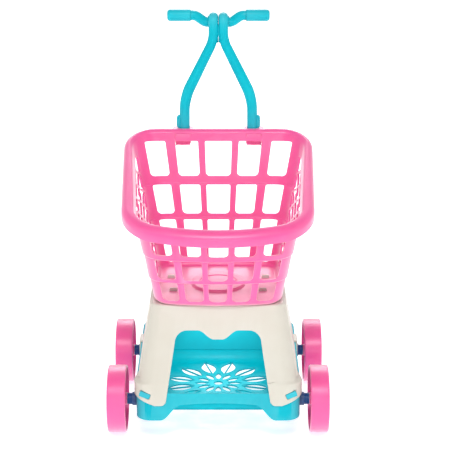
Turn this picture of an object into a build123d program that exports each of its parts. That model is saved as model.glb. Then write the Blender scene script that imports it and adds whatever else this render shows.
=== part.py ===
from build123d import *
import os
from math import atan, cos, degrees

# Toy shopping trolley. Millimetres. X to the right, Y to the back, Z up from the floor.
# The pieces are drawn with the front axle at Y = 0 and are moved to the middle of their
# common box at the end, so that the origin lies on the floor below the trolley's centre.

# --- wheels and axles ---
WHEEL_DIA = 94.0
WHEEL_WIDTH = 26.0
WHEEL_WALL = 2.6
WHEEL_BASE = 175.0
WHEEL_DISC_INSET = 7.0
WHEEL_HUB_R = 9.0
WHEEL_EDGE_R = 2.2
SPOKE_COUNT = 6
SPOKE_GAP_R = 7.5
AXLE_R = 2.5
AXLE_RUNNING_GAP = 0.05
BUSH_R = 9.5
BUSH_LENGTH = 14.2
SIDE_PLAY = 0.3
CAP_R = 7.0
CAP_LENGTH = 5.6
CAP_SKIN = 1.6

# --- tray; heights named RISE or DROP are counted from the axles ---
TRAY_HALF_WIDTH = 113.0
TRAY_FRONT_Y = -45.0
TRAY_BACK_OVERHANG = 20.0
TRAY_CORNER_R = 20.0
TRAY_WALL = 2.5
TRAY_DROP = 13.0
FLOOR_RISE = 8.0
LIP_RISE = 28.0
LEDGE_RISE = 41.0
BACK_WALL_RISE = 65.0
LEDGE_WIDTH = 22.0
RECESS_BACK_Y = 119.0
COVE_R = 16.0
AXLE_BOX_HALF = 10.0
AXLE_BLOCK_LENGTH = 12.0
PETAL_COUNT = 12
PETAL_INNER_R = 34.0
PETAL_OUTER_R = 75.0
PETAL_WIDTH = 21.0
PETAL_RIB = 1.6
DROP_INNER_R = 16.5
DROP_OUTER_R = 36.0
DROP_WIDTH = 6.5
FLOWER_HOLE_R = 6.0
FLOWER_Y = 38.0
SKIRT_FOOT_WIDTH = 35.0
SKIRT_SLOPE_WIDTH = 24.0
SKIRT_ARCH_RISE = 13.0
SKIRT_SHOULDER_RISE = 7.0
SKIRT_ARCH_R = 24.0

# --- stand ---
STAND_WALL = 2.5
STAND_HEIGHT = 107.0
STAND_TOP_HALF = 91.0
STAND_STEP_IN = 3.5
STAND_TOP_FRONT_Y = -20.0
STAND_TOP_BACK_Y = 108.0
STAND_FOOT_BACK_Y = 132.0
STAND_TOP_CORNER_R = 16.0
STAND_FOOT_CORNER_R = 20.0
FOOT_HEIGHT = 31.0
FOOT_WIDTH = 37.5
FOOT_DEPTH = 34.0
FOOT_SLANT = 22.0
FOOT_SLANT_WIDTH = 26.0
CLIP_LENGTH = 26.0
CLIP_HEIGHT = 22.0
CLIP_SLOT_DROP = 13.0
ARCH_TOP_DROP = 34.0
ARCH_DIP_DROP = 46.0
ARCH_SHOULDER_HALF = 59.0
ARCH_CORNER_R = 17.0
ARCH_SPREAD = 0.13
ARCH_WAVE_HALF = 24.0
ARCH_DIP_HALF = 7.0
SLOT_WIDTH = 16.0
SLOT_HEIGHT = 7.0
SLOT_INSET = 12.5
SLOT_DROP = 16.5
TAB_GAP = 0.5
TONGUE_WIDTH = 10.0
TONGUE_THICK = 3.0
TONGUE_RISE = 7.0
TONGUE_SPOTS = [(62.0, 28.0), (67.0, 81.0)]

# --- basket; heights are counted from the stand's top, and rows are shares of the height at the back ---
BASKET_WALL = 2.8
BASKET_HALF_BOTTOM = 86.0
BASKET_SIDE_LEAN = 0.2127
BASKET_FRONT_Y = -20.0
BASKET_FRONT_LEAN = 0.17
BASKET_BOW_BOTTOM = 9.0
BASKET_BOW_GROWTH = 0.085
BASKET_BACK_Y = 133.0
BASKET_BACK_LEAN = 0.168
BASKET_CORNER_BOTTOM = 20.0
BASKET_CORNER_GROWTH = 0.09
RIM_FRONT_HEIGHT = 116.0
RIM_BACK_HEIGHT = 200.0
RIM_FRONT_Y = -72.0
RIM_BACK_Y = 173.0
RIM_HALF_FRONT = 129.0
RIM_HALF_BACK = 134.5
RIM_BOW = 26.0
RIM_CORNER_R = 42.0
RIM_BAND = 17.0
RIM_SKIN = 3.0
WINDOW_ROWS = [(0.04, 0.18), (0.205, 0.35), (0.39, 0.6), (0.66, 0.91)]
FRONT_WINDOW_MARGIN = 3.0
WINDOW_CORNER_R = 4.0
FRONT_COLUMNS = [(-13.2, 13.2), (21.0, 47.6), (57.2, 82.6)]
FRONT_COLUMN_HEIGHT = 55.0
BACK_COLUMNS = [(-18.5, 18.5), (28.0, 59.5), (73.0, 101.0)]
BACK_COLUMN_HEIGHT = 155.0
DIAMOND_PITCH_Y = 50.0
DIAMOND_PITCH_Z = 28.0
DIAMOND_STRUT = 3.0
DIAMOND_EDGE = 20.0
DIAMOND_BOTTOM = 9.0
DIAMOND_ROWS = 13
DIAMOND_COLUMNS = 5
DISC_R = 38.0
DISC_Y = 57.0
DISC_RISE = 6.0

# --- handle; heights named UP are counted from the top of its sockets ---
SOCKET_X = 51.0
SOCKET_Y = 180.0
SOCKET_WALL = 5.1
SOCKET_FLANGE = 3.5
SOCKET_FLANGE_HEIGHT = 4.0
SOCKET_BELOW_RIM = 3.0
SOCKET_DEPTH = 26.0
SOCKET_BASE = 3.0
TUBE_R = 6.4
TUBE_GAP = 0.15
TUBE_X = 48.5
TUBE_PAIR_GAP = 0.3
TUBE_PAIR_Y = 204.0
TUBE_LOOP_Y = 228.0
TUBE_BEND_UP = 44.0
TUBE_JOIN_UP = 123.0
TUBE_TOP_UP = 163.0
TUBE_LOOP_UP = 145.0
TUBE_RISE_X = 19.0
TUBE_LEVEL_X = 33.0
TUBE_BEND_RADII = [60.0, 38.0, 9.0, 8.0, 12.0, 12.0]
GRIP_UP = 155.0
GRIP_INNER_X = 39.8
GRIP_OUTER_X = 74.0
GRIP_SKIN = 2.0
GRIP_END = 4.0
SNAP_LENGTH = 19.0
SNAP_WIDTH = 6.0
SNAP_RISE = 4.8
WEB_BOTTOM_UP = 120.0
WEB_TOP_UP = 146.0
WEB_DEPTH = 5.0

# --- worked out from the sizes above ---
WHEEL_R = WHEEL_DIA / 2
WHEEL_INNER_X = TRAY_HALF_WIDTH + BUSH_LENGTH + SIDE_PLAY
WHEEL_OUTER_X = WHEEL_INNER_X + WHEEL_WIDTH
WHEEL_DISC_X = WHEEL_OUTER_X - WHEEL_DISC_INSET
AXLE_YS = {"front": 0.0, "rear": WHEEL_BASE}
AXLE_HALF = WHEEL_DISC_X + SIDE_PLAY + CAP_LENGTH - CAP_SKIN
TRAY_BACK_Y = WHEEL_BASE + TRAY_BACK_OVERHANG
TRAY_BOTTOM_Z = WHEEL_R - TRAY_DROP
TRAY_FLOOR_Z = WHEEL_R + FLOOR_RISE
TRAY_LIP_Z = WHEEL_R + LIP_RISE
TRAY_LEDGE_Z = WHEEL_R + LEDGE_RISE
BACK_WALL_Z = WHEEL_R + BACK_WALL_RISE
RECESS_HALF_WIDTH = TRAY_HALF_WIDTH - LEDGE_WIDTH
SKIRT_ARCH_HALF = TRAY_HALF_WIDTH - SKIRT_FOOT_WIDTH
STAND_FOOT_FRONT_Y = TRAY_FRONT_Y - STAND_WALL
STAND_FOOT_HALF = TRAY_HALF_WIDTH - STAND_STEP_IN
STAND_TOP_Z = TRAY_LEDGE_Z + STAND_HEIGHT
FOOT_BOTTOM_Z = TRAY_LEDGE_Z - FOOT_HEIGHT
FOOT_INNER_X = STAND_FOOT_HALF - FOOT_WIDTH
ARCH_TOP_Z = STAND_TOP_Z - ARCH_TOP_DROP
ARCH_DIP_Z = STAND_TOP_Z - ARCH_DIP_DROP
RIM_FRONT_Z = STAND_TOP_Z + RIM_FRONT_HEIGHT
RIM_BACK_Z = STAND_TOP_Z + RIM_BACK_HEIGHT
RIM_SLOPE = (RIM_BACK_Z - RIM_FRONT_Z) / (RIM_BACK_Y - RIM_FRONT_Y)
RIM_TILT = atan(RIM_SLOPE)
BASKET_LOFT_TOP_Z = RIM_BACK_Z + RIM_BAND
SOCKET_TOP_Z = RIM_BACK_Z - SOCKET_BELOW_RIM
SOCKET_R = TUBE_R + SOCKET_WALL
TUBE_PAIR_X = TUBE_R + TUBE_PAIR_GAP
GRIP_R = TUBE_R + GRIP_SKIN
GRIP_Z = SOCKET_TOP_Z + GRIP_UP
FAR = 400.0


def block(x0, x1, y0, y1, z0, z1):
    """A box between two corners."""
    centre = Pos((x0 + x1) / 2, (y0 + y1) / 2, (z0 + z1) / 2)
    return centre * Box(x1 - x0, y1 - y0, z1 - z0)


def plan(half_width, y0, y1, corner, z):
    """A rounded rectangle, flat at height z."""
    return Pos(0, (y0 + y1) / 2, z) * RectangleRounded(2 * half_width, y1 - y0, corner)


def prism(half_width, y0, y1, corner, z0, z1):
    """A rounded rectangle drawn up from z0 to z1."""
    return extrude(plan(half_width, y0, y1, corner, z0), z1 - z0)


def rod(x0, x1, radius):
    """A round bar along X, centred on Y = Z = 0."""
    return Pos((x0 + x1) / 2, 0, 0) * Rot(0, 90, 0) * Cylinder(radius, x1 - x0)


def ring(x0, x1, outer, inner):
    """A tube along X, centred on Y = Z = 0."""
    return rod(x0, x1, outer) - rod(x0 - 1, x1 + 1, inner)


def both_sides(shape):
    """The shape and its mirror image."""
    return shape + mirror(shape, about=Plane.YZ)


def upright(points, corner, y0, y1):
    """A closed outline in X and Z with rounded corners, drawn from y0 to y1."""
    face = make_face(Polyline([(x, y0, z) for x, z in points], close=True))
    return extrude(fillet(face.vertices(), corner), y1 - y0, dir=(0, 1, 0))


def lens(inner, outer, width):
    """An almond along +X between two radii."""
    middle = (inner + outer) / 2
    upper = ThreePointArc((inner, 0), (middle, width / 2), (outer, 0))
    lower = ThreePointArc((outer, 0), (middle, -width / 2), (inner, 0))
    return make_face([upper, lower])


# --- wheels and axles ---
def wheel():
    """Right-hand wheel on the X axis: a cup that is open towards the tray."""
    rim = ring(WHEEL_INNER_X, WHEEL_OUTER_X, WHEEL_R, WHEEL_R - WHEEL_WALL)
    edges = [e for e in rim.edges().filter_by(GeomType.CIRCLE) if e.radius > WHEEL_R - 0.1]
    rim = fillet(edges, WHEEL_EDGE_R)
    disc = rod(WHEEL_DISC_X - WHEEL_WALL, WHEEL_DISC_X, WHEEL_R - WHEEL_WALL / 2)
    hub = rod(WHEEL_INNER_X, WHEEL_DISC_X, WHEEL_HUB_R)
    gap_radius = (WHEEL_R - WHEEL_WALL + WHEEL_HUB_R) / 2
    gap = Pos(0, 0, gap_radius) * rod(WHEEL_INNER_X, WHEEL_OUTER_X, SPOKE_GAP_R)
    gaps = [Rot(360 * i / SPOKE_COUNT, 0, 0) * gap for i in range(SPOKE_COUNT)]
    return rim + (disc - gaps) + hub - rod(0, FAR, AXLE_R + AXLE_RUNNING_GAP)


def axle():
    return rod(-AXLE_HALF, AXLE_HALF, AXLE_R)


def axle_bush():
    """Spacer between the tray's side and the wheel's hub, right-hand side."""
    return ring(TRAY_HALF_WIDTH, WHEEL_INNER_X - SIDE_PLAY, BUSH_R, AXLE_R)


def axle_cap():
    """Push-on cap that keeps the right-hand wheel on its axle."""
    start = WHEEL_DISC_X + SIDE_PLAY
    body = rod(start, start + CAP_LENGTH, CAP_R)
    body = fillet(body.faces().sort_by(Axis.X)[-1].edges(), CAP_LENGTH / 2)
    return body - rod(start - 1, AXLE_HALF, AXLE_R)


# --- tray ---
def flower():
    """The flower-shaped cut-outs of the tray floor, as one set of solids."""
    petal = lens(PETAL_INNER_R, PETAL_OUTER_R, PETAL_WIDTH)
    petal -= Pos((PETAL_INNER_R + PETAL_OUTER_R) / 2, 0) * Rectangle(PETAL_WIDTH * 3, PETAL_RIB)
    drop = lens(DROP_INNER_R, DROP_OUTER_R, DROP_WIDTH)
    step = 360 / PETAL_COUNT
    faces = [Rot(0, 0, step * (i + 0.5)) * petal for i in range(PETAL_COUNT)]
    faces += [Rot(0, 0, step * i) * drop for i in range(PETAL_COUNT)]
    faces.append(Circle(FLOWER_HOLE_R))
    cuts = [extrude(face, TRAY_WALL * 3) for shape in faces for face in shape.faces()]
    return Pos(0, FLOWER_Y, TRAY_FLOOR_Z - TRAY_WALL * 2) * Compound(cuts)


def recess():
    """The space above the tray floor, with a cove where it meets the back wall."""
    front = TRAY_FRONT_Y + TRAY_WALL
    space = prism(RECESS_HALF_WIDTH, front, RECESS_BACK_Y, TRAY_CORNER_R / 2, TRAY_FLOOR_Z, FAR)
    base = space.faces().sort_by(Axis.Z)[0]
    return fillet(base.edges().sort_by(Axis.Y)[-1], COVE_R)


def axle_box(y):
    """Two cross ribs and two end blocks that hold an axle below the tray floor."""
    inside = TRAY_HALF_WIDTH - TRAY_WALL / 2
    top = TRAY_FLOOR_Z - TRAY_WALL / 2
    near = y - AXLE_BOX_HALF
    far = y + AXLE_BOX_HALF
    ribs = block(-inside, inside, near, near + TRAY_WALL, TRAY_BOTTOM_Z, top)
    ribs += block(-inside, inside, far - TRAY_WALL, far, TRAY_BOTTOM_Z, top)
    end = block(inside - AXLE_BLOCK_LENGTH, inside, near, far, TRAY_BOTTOM_Z, top)
    return ribs + both_sides(end)


def tab_space(gap):
    """The slot in a front foot, or with a gap the tray's tab that fills it."""
    box = Box(SLOT_WIDTH - 2 * gap, FAR / 4, SLOT_HEIGHT - 2 * gap)
    spot = Pos(TRAY_HALF_WIDTH - SLOT_INSET, TRAY_FRONT_Y, TRAY_LEDGE_Z - SLOT_DROP)
    return spot * Rot(0, -FOOT_SLANT, 0) * box


def clip_space(gap):
    """The slot in a side clip, or with a gap the tray's tab that fills it."""
    box = Box(FAR / 10, CLIP_LENGTH / 2 - 2 * gap, SLOT_HEIGHT - 2 * gap)
    middle_y = STAND_FOOT_BACK_Y - CLIP_LENGTH / 2
    return Pos(TRAY_HALF_WIDTH, middle_y, TRAY_LEDGE_Z - CLIP_SLOT_DROP) * box


def outer_skin(inner_grow, outer_grow, z0, z1):
    """A band round the tray's outline, between two distances outside it."""
    bands = []
    for grow in (outer_grow, inner_grow):
        bands.append(prism(TRAY_HALF_WIDTH + grow, TRAY_FRONT_Y - grow, TRAY_BACK_Y + grow,
                           TRAY_CORNER_R + grow, z0, z1))
    return bands[0] - bands[1]


def skirt_arch(bottom_z):
    """The cut that leaves an arch under the tray's front lip."""
    shoulder = (SKIRT_ARCH_HALF - SKIRT_SLOPE_WIDTH, WHEEL_R + SKIRT_SHOULDER_RISE)
    half = [(SKIRT_ARCH_HALF, bottom_z), shoulder]
    points = half + [(0, WHEEL_R + SKIRT_ARCH_RISE)] + [(-x, z) for x, z in reversed(half)]
    near = TRAY_FRONT_Y - 1
    face = make_face(Polyline([(x, near, z) for x, z in points], close=True))
    face = fillet([v for v in face.vertices() if v.Z > bottom_z + 1], SKIRT_ARCH_R)
    return extrude(face, TRAY_WALL + 1, dir=(0, 1, 0))


def tray():
    shell = prism(TRAY_HALF_WIDTH, TRAY_FRONT_Y, TRAY_BACK_Y, TRAY_CORNER_R,
                  TRAY_BOTTOM_Z, TRAY_LEDGE_Z)
    shell += prism(RECESS_HALF_WIDTH + TRAY_WALL, RECESS_BACK_Y - TRAY_CORNER_R,
                   RECESS_BACK_Y + TRAY_WALL, TRAY_WALL, TRAY_LEDGE_Z - 1, BACK_WALL_Z)
    shell -= recess()
    inner = TRAY_HALF_WIDTH - TRAY_WALL
    below = TRAY_BOTTOM_Z - 1
    hollow = prism(inner, TRAY_FRONT_Y + TRAY_WALL, TRAY_BACK_Y - TRAY_WALL,
                   TRAY_CORNER_R - TRAY_WALL, below, TRAY_LEDGE_Z - TRAY_WALL)
    kept = prism(RECESS_HALF_WIDTH + TRAY_WALL, TRAY_FRONT_Y, RECESS_BACK_Y + TRAY_WALL,
                 TRAY_CORNER_R / 2 + TRAY_WALL, TRAY_FLOOR_Z - TRAY_WALL, TRAY_LEDGE_Z)
    shell -= hollow - kept
    half = RECESS_HALF_WIDTH - TRAY_CORNER_R / 2
    shell -= block(-half, half, TRAY_FRONT_Y - 1, TRAY_FRONT_Y + TRAY_WALL + 1,
                   TRAY_LIP_Z, TRAY_LEDGE_Z + 1)
    shell -= skirt_arch(below)
    for y in AXLE_YS.values():
        shell += axle_box(y)
        shell -= Pos(0, y, WHEEL_R) * rod(-FAR, FAR, AXLE_R)
    tabs = outer_skin(-TRAY_WALL / 2, STAND_WALL, TRAY_BOTTOM_Z, TRAY_LEDGE_Z)
    for space in (tab_space(TAB_GAP), clip_space(TAB_GAP)):
        shell += both_sides(tabs & space)
    return shell - flower()


# --- stand ---
def stand_plan(z, inset):
    """The stand's outline at height z, moved inwards by inset."""
    rise = (z - TRAY_LEDGE_Z) / (STAND_TOP_Z - TRAY_LEDGE_Z)
    half = STAND_FOOT_HALF + (STAND_TOP_HALF - STAND_FOOT_HALF) * rise
    front = STAND_FOOT_FRONT_Y + (STAND_TOP_FRONT_Y - STAND_FOOT_FRONT_Y) * rise
    back = STAND_FOOT_BACK_Y + (STAND_TOP_BACK_Y - STAND_FOOT_BACK_Y) * rise
    corner = STAND_FOOT_CORNER_R + (STAND_TOP_CORNER_R - STAND_FOOT_CORNER_R) * rise
    return plan(half - inset, front + inset, back - inset, corner - inset, z)


def arch_cut(y0, y1, bottom_z):
    """The wavy arch of the stand's front and back."""
    spread = (ARCH_TOP_Z - bottom_z) * ARCH_SPREAD
    side = [(ARCH_SHOULDER_HALF + spread, bottom_z), (ARCH_SHOULDER_HALF, ARCH_TOP_Z),
            (ARCH_WAVE_HALF, ARCH_TOP_Z), (ARCH_DIP_HALF, ARCH_DIP_Z)]
    points = side + [(-x, z) for x, z in reversed(side)]
    face = make_face(Polyline([(x, y0, z) for x, z in points], close=True))
    shoulders = [v for v in face.vertices() if v.Z > ARCH_DIP_Z and abs(v.X) > ARCH_WAVE_HALF + 1]
    face = fillet(shoulders, ARCH_CORNER_R)
    waves = [v for v in face.vertices() if v.Z > ARCH_DIP_Z - 1 and abs(v.X) < ARCH_WAVE_HALF + 1]
    face = fillet(waves, ARCH_CORNER_R / 2)
    return extrude(face, y1 - y0, dir=(0, 1, 0))


def front_foot():
    """The right front foot, which wraps the tray's corner."""
    skin = outer_skin(0, STAND_WALL, FOOT_BOTTOM_Z, TRAY_LEDGE_Z)
    cap = prism(TRAY_HALF_WIDTH + STAND_WALL, STAND_FOOT_FRONT_Y, STAND_FOOT_BACK_Y,
                TRAY_CORNER_R + STAND_WALL, TRAY_LEDGE_Z, TRAY_LEDGE_Z + STAND_WALL)
    corner = block(FOOT_INNER_X, FAR, -FAR, STAND_FOOT_FRONT_Y + FOOT_DEPTH,
                   FOOT_BOTTOM_Z, TRAY_LEDGE_Z + STAND_WALL)
    wedge = Pos(TRAY_HALF_WIDTH - FOOT_SLANT_WIDTH, TRAY_FRONT_Y, FOOT_BOTTOM_Z)
    wedge *= Rot(0, -FOOT_SLANT, 0)
    slant = wedge * block(0, FAR, -FAR / 4, FAR / 4, -FAR, 0)
    return (skin + (cap - cavity())) & corner - slant - tab_space(0)


def side_clip():
    """The clip on the right side, near the back."""
    bottom = TRAY_LEDGE_Z - CLIP_HEIGHT
    skin = outer_skin(0, STAND_WALL, bottom, TRAY_LEDGE_Z)
    cap = block(STAND_TOP_HALF, TRAY_HALF_WIDTH + STAND_WALL, -FAR, FAR,
                TRAY_LEDGE_Z, TRAY_LEDGE_Z + STAND_WALL)
    stretch = block(0, FAR, STAND_FOOT_BACK_Y - CLIP_LENGTH, STAND_FOOT_BACK_Y,
                    bottom, TRAY_LEDGE_Z + STAND_WALL)
    return (skin + (cap - cavity())) & stretch - clip_space(0)


def cavity():
    """The inside of the stand."""
    lowest = stand_plan(TRAY_LEDGE_Z - 1, STAND_WALL)
    return loft([lowest, stand_plan(STAND_TOP_Z - STAND_WALL, STAND_WALL)])


def tongues(gap):
    """Tongues of the stand's top, or with a gap the slots that they pass."""
    result = []
    for x, y in TONGUE_SPOTS:
        for side in (-1, 1):
            result.append(Pos(side * x, y, STAND_TOP_Z)
                          * Box(TONGUE_WIDTH + 2 * gap, TONGUE_THICK + 2 * gap, 2 * TONGUE_RISE))
    return Compound(result)


def stand():
    shell = loft([stand_plan(TRAY_LEDGE_Z, 0), stand_plan(STAND_TOP_Z, 0)]) - cavity()
    shell += both_sides(front_foot())
    shell += both_sides(side_clip())
    middle = (STAND_TOP_FRONT_Y + STAND_TOP_BACK_Y) / 2
    shell -= arch_cut(-FAR, middle, FOOT_BOTTOM_Z - 1)
    shell -= arch_cut(middle, FAR, TRAY_LEDGE_Z - 1)
    peg_zone = block(-FAR, FAR, -FAR, FAR, STAND_TOP_Z - STAND_WALL, FAR)
    return shell + (tongues(0) & peg_zone)


# --- basket ---
def basket_half(z):
    return BASKET_HALF_BOTTOM + BASKET_SIDE_LEAN * (z - STAND_TOP_Z)


def basket_back(z):
    return BASKET_BACK_Y + BASKET_BACK_LEAN * (z - STAND_TOP_Z)


def basket_front(z):
    return BASKET_FRONT_Y - BASKET_FRONT_LEAN * (z - STAND_TOP_Z)


def rim_top(y):
    return RIM_FRONT_Z + RIM_SLOPE * (y - RIM_FRONT_Y)


def bowed_outline(half_front, half_back, front, bow, back, corner, z):
    """A four-sided outline whose front edge bows forwards."""
    left = (-half_front, front, z)
    right = (half_front, front, z)
    bowed = ThreePointArc(left, (0, front - bow, z), right)
    rest = Polyline([right, (half_back, back, z), (-half_back, back, z), left])
    face = make_face([bowed, *rest.edges()])
    return fillet(face.vertices(), corner)


def basket_plan(z, inset):
    rise = z - STAND_TOP_Z
    half = basket_half(z) - inset
    bow = BASKET_BOW_BOTTOM + BASKET_BOW_GROWTH * rise
    corner = BASKET_CORNER_BOTTOM + BASKET_CORNER_GROWTH * rise - inset
    return bowed_outline(half, half, basket_front(z) + inset, bow,
                         basket_back(z) - inset, corner, z)


def basket_body(inset, z0):
    return loft([basket_plan(z0, inset), basket_plan(BASKET_LOFT_TOP_Z, inset)])


def below_rim(drop):
    """Everything more than drop below the sloping rim."""
    half_space = Pos(0, 0, -FAR) * Box(3 * FAR, 3 * FAR, 2 * FAR)
    return Pos(0, RIM_FRONT_Y, RIM_FRONT_Z - drop) * Rot(degrees(RIM_TILT), 0, 0) * half_space


def rim():
    """The sloping rim: a flange on top and a skirt that hangs from its edge."""
    outline = bowed_outline(RIM_HALF_FRONT, RIM_HALF_BACK, RIM_FRONT_Y + RIM_BOW, RIM_BOW,
                            RIM_BACK_Y, RIM_CORNER_R, 0)
    inner = bowed_outline(RIM_HALF_FRONT - RIM_SKIN, RIM_HALF_BACK - RIM_SKIN,
                          RIM_FRONT_Y + RIM_BOW + RIM_SKIN, RIM_BOW,
                          RIM_BACK_Y - RIM_SKIN, RIM_CORNER_R - RIM_SKIN, 0)
    column = extrude(outline, 2 * FAR)
    skirt = column - extrude(inner, 2 * FAR)
    flange = (column & below_rim(0)) - below_rim(RIM_SKIN / cos(RIM_TILT))
    return (skirt & below_rim(0)) - below_rim(RIM_BAND) + flange


def grid_windows(columns, column_height, rows, y0, y1):
    """Rounded windows in rows and columns that narrow towards the floor."""
    windows = []
    width = basket_half(STAND_TOP_Z + column_height)
    for bottom, top in rows:
        for near, far in columns:
            low = basket_half(bottom) / width
            high = basket_half(top) / width
            points = [(near * low, bottom), (far * low, bottom),
                      (far * high, top), (near * high, top)]
            window = upright(points, WINDOW_CORNER_R, y0, y1)
            windows.append(window)
            if near > 0:
                windows.append(mirror(window, about=Plane.YZ))
    return windows


def diamond_windows():
    """Diamond openings of the two sides, between the posts and below the rim."""
    half_y = DIAMOND_PITCH_Y / 2 - DIAMOND_STRUT
    half_z = DIAMOND_PITCH_Z / 2 - DIAMOND_STRUT
    middle = (BASKET_FRONT_Y + BASKET_BACK_Y) / 2
    openings = []
    for row in range(DIAMOND_ROWS):
        z = STAND_TOP_Z + DIAMOND_BOTTOM + half_z + row * DIAMOND_PITCH_Z / 2
        for column in range(DIAMOND_COLUMNS):
            y = middle + (column - DIAMOND_COLUMNS // 2 + 0.5 * (row % 2)) * DIAMOND_PITCH_Y
            front = basket_front(z) + DIAMOND_EDGE
            back = basket_back(z) - DIAMOND_EDGE
            below = z + half_z < rim_top(y - half_y) - RIM_BAND - 2
            if below and front < y - half_y and y + half_y < back:
                points = [(0, y - half_y, z), (0, y, z - half_z),
                          (0, y + half_y, z), (0, y, z + half_z)]
                face = make_face(Polyline(points, close=True))
                openings.append(extrude(face, FAR / 2, dir=(1, 0, 0), both=True))
    return openings


def socket(x):
    """Handle socket behind the rim."""
    bottom = SOCKET_TOP_Z - SOCKET_DEPTH - SOCKET_BASE
    post = Pos(0, 0, bottom) * Cylinder(SOCKET_R, SOCKET_TOP_Z - bottom,
                                        align=(Align.CENTER, Align.CENTER, Align.MIN))
    flange = Pos(0, 0, SOCKET_TOP_Z) * Cylinder(SOCKET_R + SOCKET_FLANGE, SOCKET_FLANGE_HEIGHT,
                                                align=(Align.CENTER, Align.CENTER, Align.MAX))
    web = block(-SOCKET_R, SOCKET_R, basket_back(bottom) - SOCKET_Y - BASKET_WALL / 2, 0,
                bottom, SOCKET_TOP_Z - SOCKET_FLANGE_HEIGHT)
    return Pos(x, SOCKET_Y, 0) * (post + flange + web)


def socket_bore():
    """The hole of the left socket, which lies nearer the middle than the socket does."""
    length = SOCKET_DEPTH + SOCKET_FLANGE_HEIGHT
    bore = Cylinder(TUBE_R + TUBE_GAP, length, align=(Align.CENTER, Align.CENTER, Align.MIN))
    return Pos(-TUBE_X, SOCKET_Y, SOCKET_TOP_Z - SOCKET_DEPTH) * bore


def basket():
    outer = basket_body(0, STAND_TOP_Z) & below_rim(0)
    inside = basket_body(BASKET_WALL, STAND_TOP_Z + BASKET_WALL)
    inside_all = basket_body(BASKET_WALL, STAND_TOP_Z)
    body = outer + (rim() - inside_all)
    for side in (-1, 1):
        body += socket(side * SOCKET_X)
    body -= inside
    middle = (BASKET_FRONT_Y + BASKET_BACK_Y) / 2
    rows = [(STAND_TOP_Z + low * RIM_BACK_HEIGHT, STAND_TOP_Z + high * RIM_BACK_HEIGHT)
            for low, high in WINDOW_ROWS]
    under_rim = RIM_FRONT_Z - RIM_BAND - FRONT_WINDOW_MARGIN
    front_rows = [(low, min(high, under_rim)) for low, high in rows if low < under_rim]
    cuts = grid_windows(FRONT_COLUMNS, FRONT_COLUMN_HEIGHT, front_rows, -FAR / 4, middle)
    cuts += grid_windows(BACK_COLUMNS, BACK_COLUMN_HEIGHT, rows, middle,
                         basket_back(RIM_BACK_Z) + 1)
    body -= cuts
    body -= diamond_windows()
    body += Pos(0, DISC_Y, STAND_TOP_Z) * Cylinder(
        DISC_R, BASKET_WALL + DISC_RISE, align=(Align.CENTER, Align.CENTER, Align.MIN))
    body -= tongues(TAB_GAP)
    return body - both_sides(socket_bore())


# --- handle ---
def handle():
    """Left-hand tube: up from its socket, beside its twin, then back and out to the grip."""
    foot_z = SOCKET_TOP_Z - SOCKET_DEPTH
    loop_z = SOCKET_TOP_Z + TUBE_LOOP_UP
    points = [(-TUBE_X, SOCKET_Y, foot_z), (-TUBE_X, SOCKET_Y, SOCKET_TOP_Z + TUBE_BEND_UP),
              (-TUBE_PAIR_X, TUBE_PAIR_Y, SOCKET_TOP_Z + TUBE_JOIN_UP),
              (-TUBE_PAIR_X, TUBE_PAIR_Y, SOCKET_TOP_Z + TUBE_TOP_UP),
              (-TUBE_PAIR_X, TUBE_LOOP_Y, loop_z), (-TUBE_RISE_X, TUBE_LOOP_Y, loop_z),
              (-TUBE_LEVEL_X, TUBE_LOOP_Y, GRIP_Z), (GRIP_END - GRIP_OUTER_X, TUBE_LOOP_Y, GRIP_Z)]
    path = FilletPolyline(points, radius=TUBE_BEND_RADII)
    start = Plane(origin=path @ 0, z_dir=path % 0)
    tube = sweep(start * Circle(TUBE_R), path=path)
    outer = -TUBE_X - TUBE_R
    snap = block(outer - SNAP_RISE, outer + 2, SOCKET_Y - SNAP_WIDTH / 2, SOCKET_Y + SNAP_WIDTH / 2,
                 SOCKET_TOP_Z, SOCKET_TOP_Z + SNAP_LENGTH)
    web = block(-TUBE_PAIR_X, 0, TUBE_PAIR_Y - WEB_DEPTH / 2, TUBE_PAIR_Y + WEB_DEPTH / 2,
                SOCKET_TOP_Z + WEB_BOTTOM_UP, SOCKET_TOP_Z + WEB_TOP_UP)
    return tube + snap + web


def grip():
    """Left-hand grip, a sleeve with a closed round end."""
    sleeve = rod(-GRIP_OUTER_X, -GRIP_INNER_X, GRIP_R)
    ends = sleeve.faces().sort_by(Axis.X)
    sleeve = fillet(ends[0].edges(), GRIP_END)
    sleeve = chamfer(sleeve.faces().sort_by(Axis.X)[-1].edges(), (GRIP_R - TUBE_R) * 0.7)
    sleeve -= rod(-GRIP_OUTER_X + GRIP_END, 0, TUBE_R)
    return Pos(0, TUBE_LOOP_Y, GRIP_Z) * sleeve


def build():
    """All pieces by node name, with the front axle at Y = 0."""
    pieces = {"basket": basket(), "stand": stand(), "tray": tray(),
              "handle_left": handle(), "grip_left": grip()}
    pieces["handle_right"] = mirror(pieces["handle_left"], about=Plane.YZ)
    pieces["grip_right"] = mirror(pieces["grip_left"], about=Plane.YZ)
    right_hand = {"wheel": wheel(), "axle_bush": axle_bush(), "axle_cap": axle_cap()}
    for end, y in AXLE_YS.items():
        seat = Pos(0, y, WHEEL_R)
        pieces[f"axle_{end}"] = seat * axle()
        for name, shape in right_hand.items():
            pieces[f"{name}_{end}_right"] = seat * shape
            pieces[f"{name}_{end}_left"] = seat * mirror(shape, about=Plane.YZ)
    return pieces


def main():
    os.makedirs("parts", exist_ok=True)
    pieces = build()
    box = Compound(list(pieces.values())).bounding_box()
    middle_y = (box.min.Y + box.max.Y) / 2
    print("box", box.min, box.max, "moved forwards by", middle_y)
    for name, shape in pieces.items():
        export_step(Pos(0, -middle_y, 0) * shape, f"parts/{name}.step")


main()
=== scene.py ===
"""Toy shopping trolley: the looks of its moulded pieces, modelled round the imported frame."""

import math
from contextlib import contextmanager

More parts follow.
